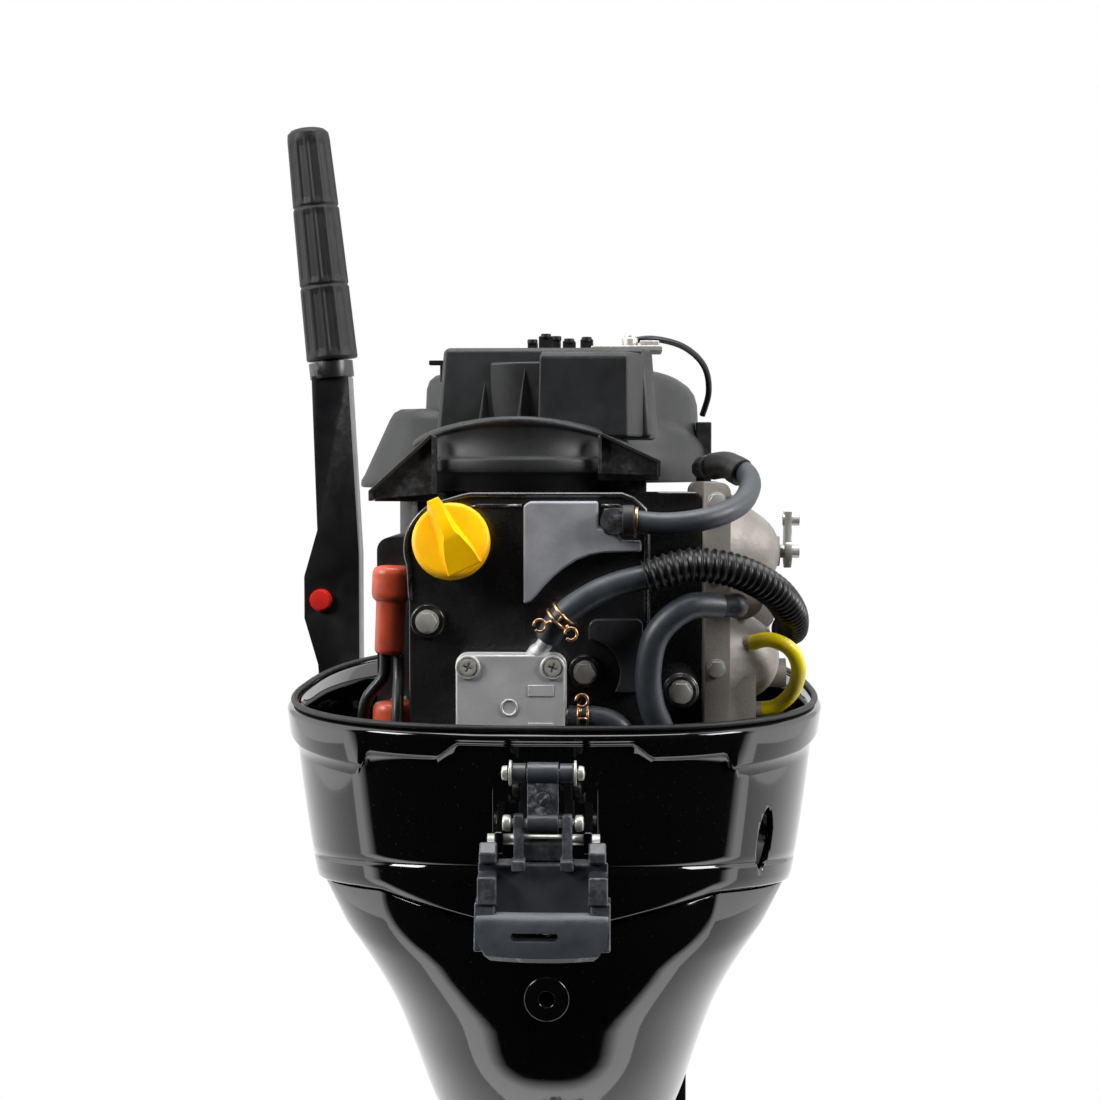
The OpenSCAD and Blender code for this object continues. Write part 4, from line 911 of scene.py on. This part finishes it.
def build_grip():
    """Twist grip with shallow flutes between its ring grooves."""
    sides, rings, flutes = 160, [], 12
    side, other = Vector((GRIP_AXIS.z, 0, -GRIP_AXIS.x)), Vector((0, 1, 0))
    table = [(0, 20.2), (1.5, 21), (58, 20.1), (122, 18.9), (126, 18.7), (178, 17.4), (184, 16.6),
             (187, 13.5), (188, 10)]
    first, last, grooves = 2, 180, (60, 124)
    for h in [*range(186), 186, 186.8, 187.5, 188]:
        base = between(h, table)
        for g in grooves:
            base -= 1.3 * max(0.0, 1 - abs(h - g) / 1.6)
        near = min(abs(h - e) for e in (first, *grooves, last))
        fade = min(near / 7, 1) if first < h < last else 0
        ring = []
        for k in range(sides):
            a = 2 * math.pi * k / sides
            wave = max(0.0, math.cos(flutes * a)) ** 0.7
            r = base - 1.1 * fade * (1 - wave)
            ring.append(GRIP_BASE + GRIP_AXIS * h + r * (side * math.cos(a) + other * math.sin(a)))
        rings.append(ring)
    verts = [p for ring in rings for p in ring]
    piece("grip_rubber", verts, ring_faces(len(rings), sides), "grip", "rubber", ["tiller_grip"])


def build_latch():
    parts = [slab([(-508, 99), (-513, 96), (-513.5, 70), (-519, 60), (-513, 58), (-508, 68)], -27, 27)]
    cheeks = (
        ([(-504, 99), (-508, 107), (-515, 109), (-521, 104), (-521, 98.5), (-514, 97)], 25, 34.5),
        ([(-504, 94), (-513, 98), (-513, 92), (-522, 91), (-523, 76), (-512, 72), (-505, 76)], 25, 35.5),
        ([(-505, 77), (-521, 77), (-524, 66), (-528, 52), (-520, 50), (-508, 62)], 26, 37),
        ([(-498, 104), (-496, 110), (-500, 114), (-509, 124), (-515, 124), (-517, 118), (-515, 95),
          (-506, 94)], 10.5, 16),
        ([(-512, 94), (-518, 93), (-518, 99), (-512, 101)], 9.5, 17))
    for side in (-1, 1):
        for points, x0, x1 in cheeks:
            parts.append(slab(points, *sorted((side * x0, side * x1))))
    parts.append(slab([(-506, 97), (-512, 98), (-513, 108), (-508, 110)], -12, 12))
    chamfer(piece("latch_body", *merge(parts), "latch", "latch_plastic", ["latch_lever"]), 1.1, 3)
    # Flared lip with its slot
    rows = []
    for z, y, wide in ((72, -520, 35), (69.5, -524, 36), (66, -526, 36.4), (58, -528.5, 35.2),
                       (51, -530, 31), (48, -527, 28), (50, -522, 28), (58, -519, 33), (66, -516, 34)):
        ring = []
        for k in range(41):
            x = -wide + 2 * wide * k / 40
            bow = 1.6 * (1 - (x / 37) ** 2)
            ring.append((x, y - bow, z - (1.8 * (1 - (x / 37) ** 2) if z < 60 else 0)))
        rows.append(ring)
    count, wide = len(rows), 41
    verts = [p for row in rows for p in row]
    faces = []
    for j in range(count):
        here, after = j * wide, (j + 1) % count * wide
        faces += [(here + k, here + k + 1, after + k + 1, after + k) for k in range(wide - 1)]
    faces += [tuple(j * wide for j in range(count)),
              tuple(j * wide + wide - 1 for j in range(count - 1, -1, -1))]
    lip = piece("latch_lip", verts, faces, "latch", "latch_plastic")
    hole = []
    for sx, a in ((10.5, -90), (-10.5, 90)):
        hole += arc(sx - 4, 60, 2.4, a, a + 180, 10)
    cut(lip, *face_plate(hole, -560, -500))
    chamfer(lip, 0.7)
    pins = [bar((-31, *LATCH), (31, *LATCH), 3), bar((-19.5, *LINK), (19.5, *LINK), PIN_R)]
    head = rounded([(0, -2.6), (4.2, -2.2), (4.6, 0), (4.2, 2.2), (0, 2.6)], 0.8)
    for x in (-19.8, 19.8):
        pins.append(lathe(head, (x, *LINK), (1, 0, 0)))
    piece("latch_pins", *merge(pins), "latch", "zinc")


def build_link():
    y, z = LINK
    top = 146.5
    plate = [(y - 3, z + 4), (y - 3.5, top - 4), (y + 2.5, top - 4), (y + 3, z + 4)]
    parts = [slab(plate, -8.5, 8.5)]
    for height in (z, top):
        barrel = [(2.9, -8.6), (6, -8.6), (6, 8.6), (2.9, 8.6)]
        parts.append(lathe(rounded(barrel, 0.6), (0, y, height), (1, 0, 0)))
    for side in (-1, 1):
        barrel = [(2.6, side * 9.2), (5.4, side * 9.2), (5.4, side * 16.5), (2.6, side * 16.5)]
        parts.append(lathe(rounded(barrel, 0.6), (0, y, top), (1, 0, 0)))
    parts.append(lathe(rounded([(0, 0), (4, 0), (3.8, 1.2), (0, 1.8)], 0.5), (0, y - 3.2, 133), (0, -1, 0)))
    chamfer(piece("link_body", *merge(parts), "latch_hook", "latch_plastic", ["latch_link"]), 0.6)
    pins = [bar((-21, y, top), (21, y, top), PIN_R)]
    for side in (-1, 1):
        for x, head in ((17, rounded([(0, 0), (7, 0), (7, 1.4), (0, 1.4)], 0.4)),
                        (19.4, rounded([(0, 0), (4.2, 0), (3.8, 3), (0, 3.6)], 0.7))):
            pins.append(lathe(head, (side * x, y, top), (side, 0, 0)))
    piece("link_pins", *merge(pins), "latch_hook", "zinc")


# ---- Stage: floor, light and camera ----

FLOOR_START = -0.32


def build_stage():
    """Floor that curves up behind the motor; white to the camera and to glossy surfaces."""
    floor_z = cad_low.z - 0.002
    verts = []
    steps = 24
    half, depth, radius, height = 2.5, 5.0, 2.5, 8.0
    profile = [(FLOOR_START, 0.0)]
    for i in range(steps + 1):
        a = math.pi / 2 * i / steps
        profile.append((depth - radius + radius * math.sin(a), radius - radius * math.cos(a)))
    profile.append((depth, height))
    for x in (-half, half):
        verts += [(x, y, floor_z + z) for y, z in profile]
    n = len(profile)
    mesh = bpy.data.meshes.new("backdrop")
    mesh.from_pydata(verts, [], [(i, i + 1, n + i + 1, n + i) for i in range(n - 1)])
    mesh.polygons.foreach_set("use_smooth", [True] * len(mesh.polygons))
    obj = bpy.data.objects.new("backdrop", mesh)
    bpy.context.scene.collection.objects.link(obj)
    mat = surface("backdrop_paper", (0.30, 0.30, 0.30), (0.28, 0.28, 0.28), 0.8, 0.05, patch=2, grain=200,
                  depth=0.02)
    tree = mat.node_tree
    glow = add(tree, "ShaderNodeEmission", Color=(1, 1, 1, 1), Strength=1.0)
    mix = tree.nodes.new("ShaderNodeMixShader")
    rays = tree.nodes.new("ShaderNodeLightPath")
    either = tree.nodes.new("ShaderNodeMath")
    either.operation = "MAXIMUM"
    tree.links.new(rays.outputs["Is Camera Ray"], either.inputs[0])
    tree.links.new(rays.outputs["Is Glossy Ray"], either.inputs[1])
    tree.links.new(either.outputs[0], mix.inputs[0])
    tree.links.new(tree.nodes["Principled BSDF"].outputs[0], mix.inputs[1])
    tree.links.new(glow.outputs[0], mix.inputs[2])
    tree.links.new(mix.outputs[0], tree.nodes["Material Output"].inputs[0])
    obj.data.materials.append(mat)


def area_light(name, place, aim, size, power):
    data = bpy.data.lights.new(name, "AREA")
    data.shape = "RECTANGLE"
    data.size, data.size_y = size
    data.energy = power
    obj = bpy.data.objects.new(name, data)
    obj.location = place
    obj.rotation_euler = (Vector(aim) - Vector(place)).to_track_quat("-Z", "Y").to_euler()
    bpy.context.scene.collection.objects.link(obj)


def build_world():
    """White to the camera; for everything else bright at the sides, dim ahead of the motor."""
    world = bpy.data.worlds.new("studio")
    world.use_nodes = True
    tree = world.node_tree
    tree.nodes.clear()
    out = tree.nodes.new("ShaderNodeOutputWorld")
    plain = add(tree, "ShaderNodeBackground", Color=(1, 1, 1, 1), Strength=1.0)
    soft = add(tree, "ShaderNodeBackground", Color=(1, 1, 1, 1), Strength=0.6)
    mix = tree.nodes.new("ShaderNodeMixShader")
    rays = tree.nodes.new("ShaderNodeLightPath")
    tree.links.new(rays.outputs["Is Camera Ray"], mix.inputs[0])
    tree.links.new(soft.outputs[0], mix.inputs[1])
    tree.links.new(plain.outputs[0], mix.inputs[2])
    tree.links.new(mix.outputs[0], out.inputs[0])
    coords = tree.nodes.new("ShaderNodeTexCoord")
    split = tree.nodes.new("ShaderNodeSeparateXYZ")
    tree.links.new(coords.outputs["Generated"], split.inputs[0])
    ahead = remap(tree, split.outputs["Y"], -0.16, -0.04, 0.012, 3.0)
    behind = remap(tree, split.outputs["Y"], 0.0, 0.9, 1.0, 0.25)
    polish = remap(tree, rays.outputs["Is Glossy Ray"], 0, 1, 0.65, 0.85)
    tree.links.new(times(tree, times(tree, ahead, behind), polish), soft.inputs["Strength"])
    bpy.context.scene.world = world


def build_camera():
    data = bpy.data.cameras.new("camera")
    data.lens = 60.5
    data.sensor_width = 36
    data.clip_end = 100
    cam = bpy.data.objects.new("camera", data)
    cam.location = (0.040, -1.512, 0.317)
    cam.rotation_euler = Euler((math.radians(90 - 2.785), 0, math.radians(2.07)))
    bpy.context.scene.collection.objects.link(cam)
    bpy.context.scene.camera = cam


build_lower_cowl()
build_cowl_seal()
build_casing()
build_belt_cover()
build_silencer()
build_hood()
build_hoses()
build_valve_cover()
build_fuel_pump()
build_clips()
build_oil_cap()
build_boots()
build_grip()
build_latch()
build_link()
bpy.context.scene.view_settings.view_transform = "Standard"
build_stage()
build_world()
build_camera()
ENGINE = (0, -0.25, 0.2)
area_light("key_left", (-2.2, -1.5, 1.6), ENGINE, (1.0, 1.0), 70)
area_light("key_right", (2.3, -1.3, 1.4), ENGINE, (1.0, 1.0), 60)
area_light("top", (0.1, -0.6, 2.2), ENGINE, (1.8, 1.2), 42)
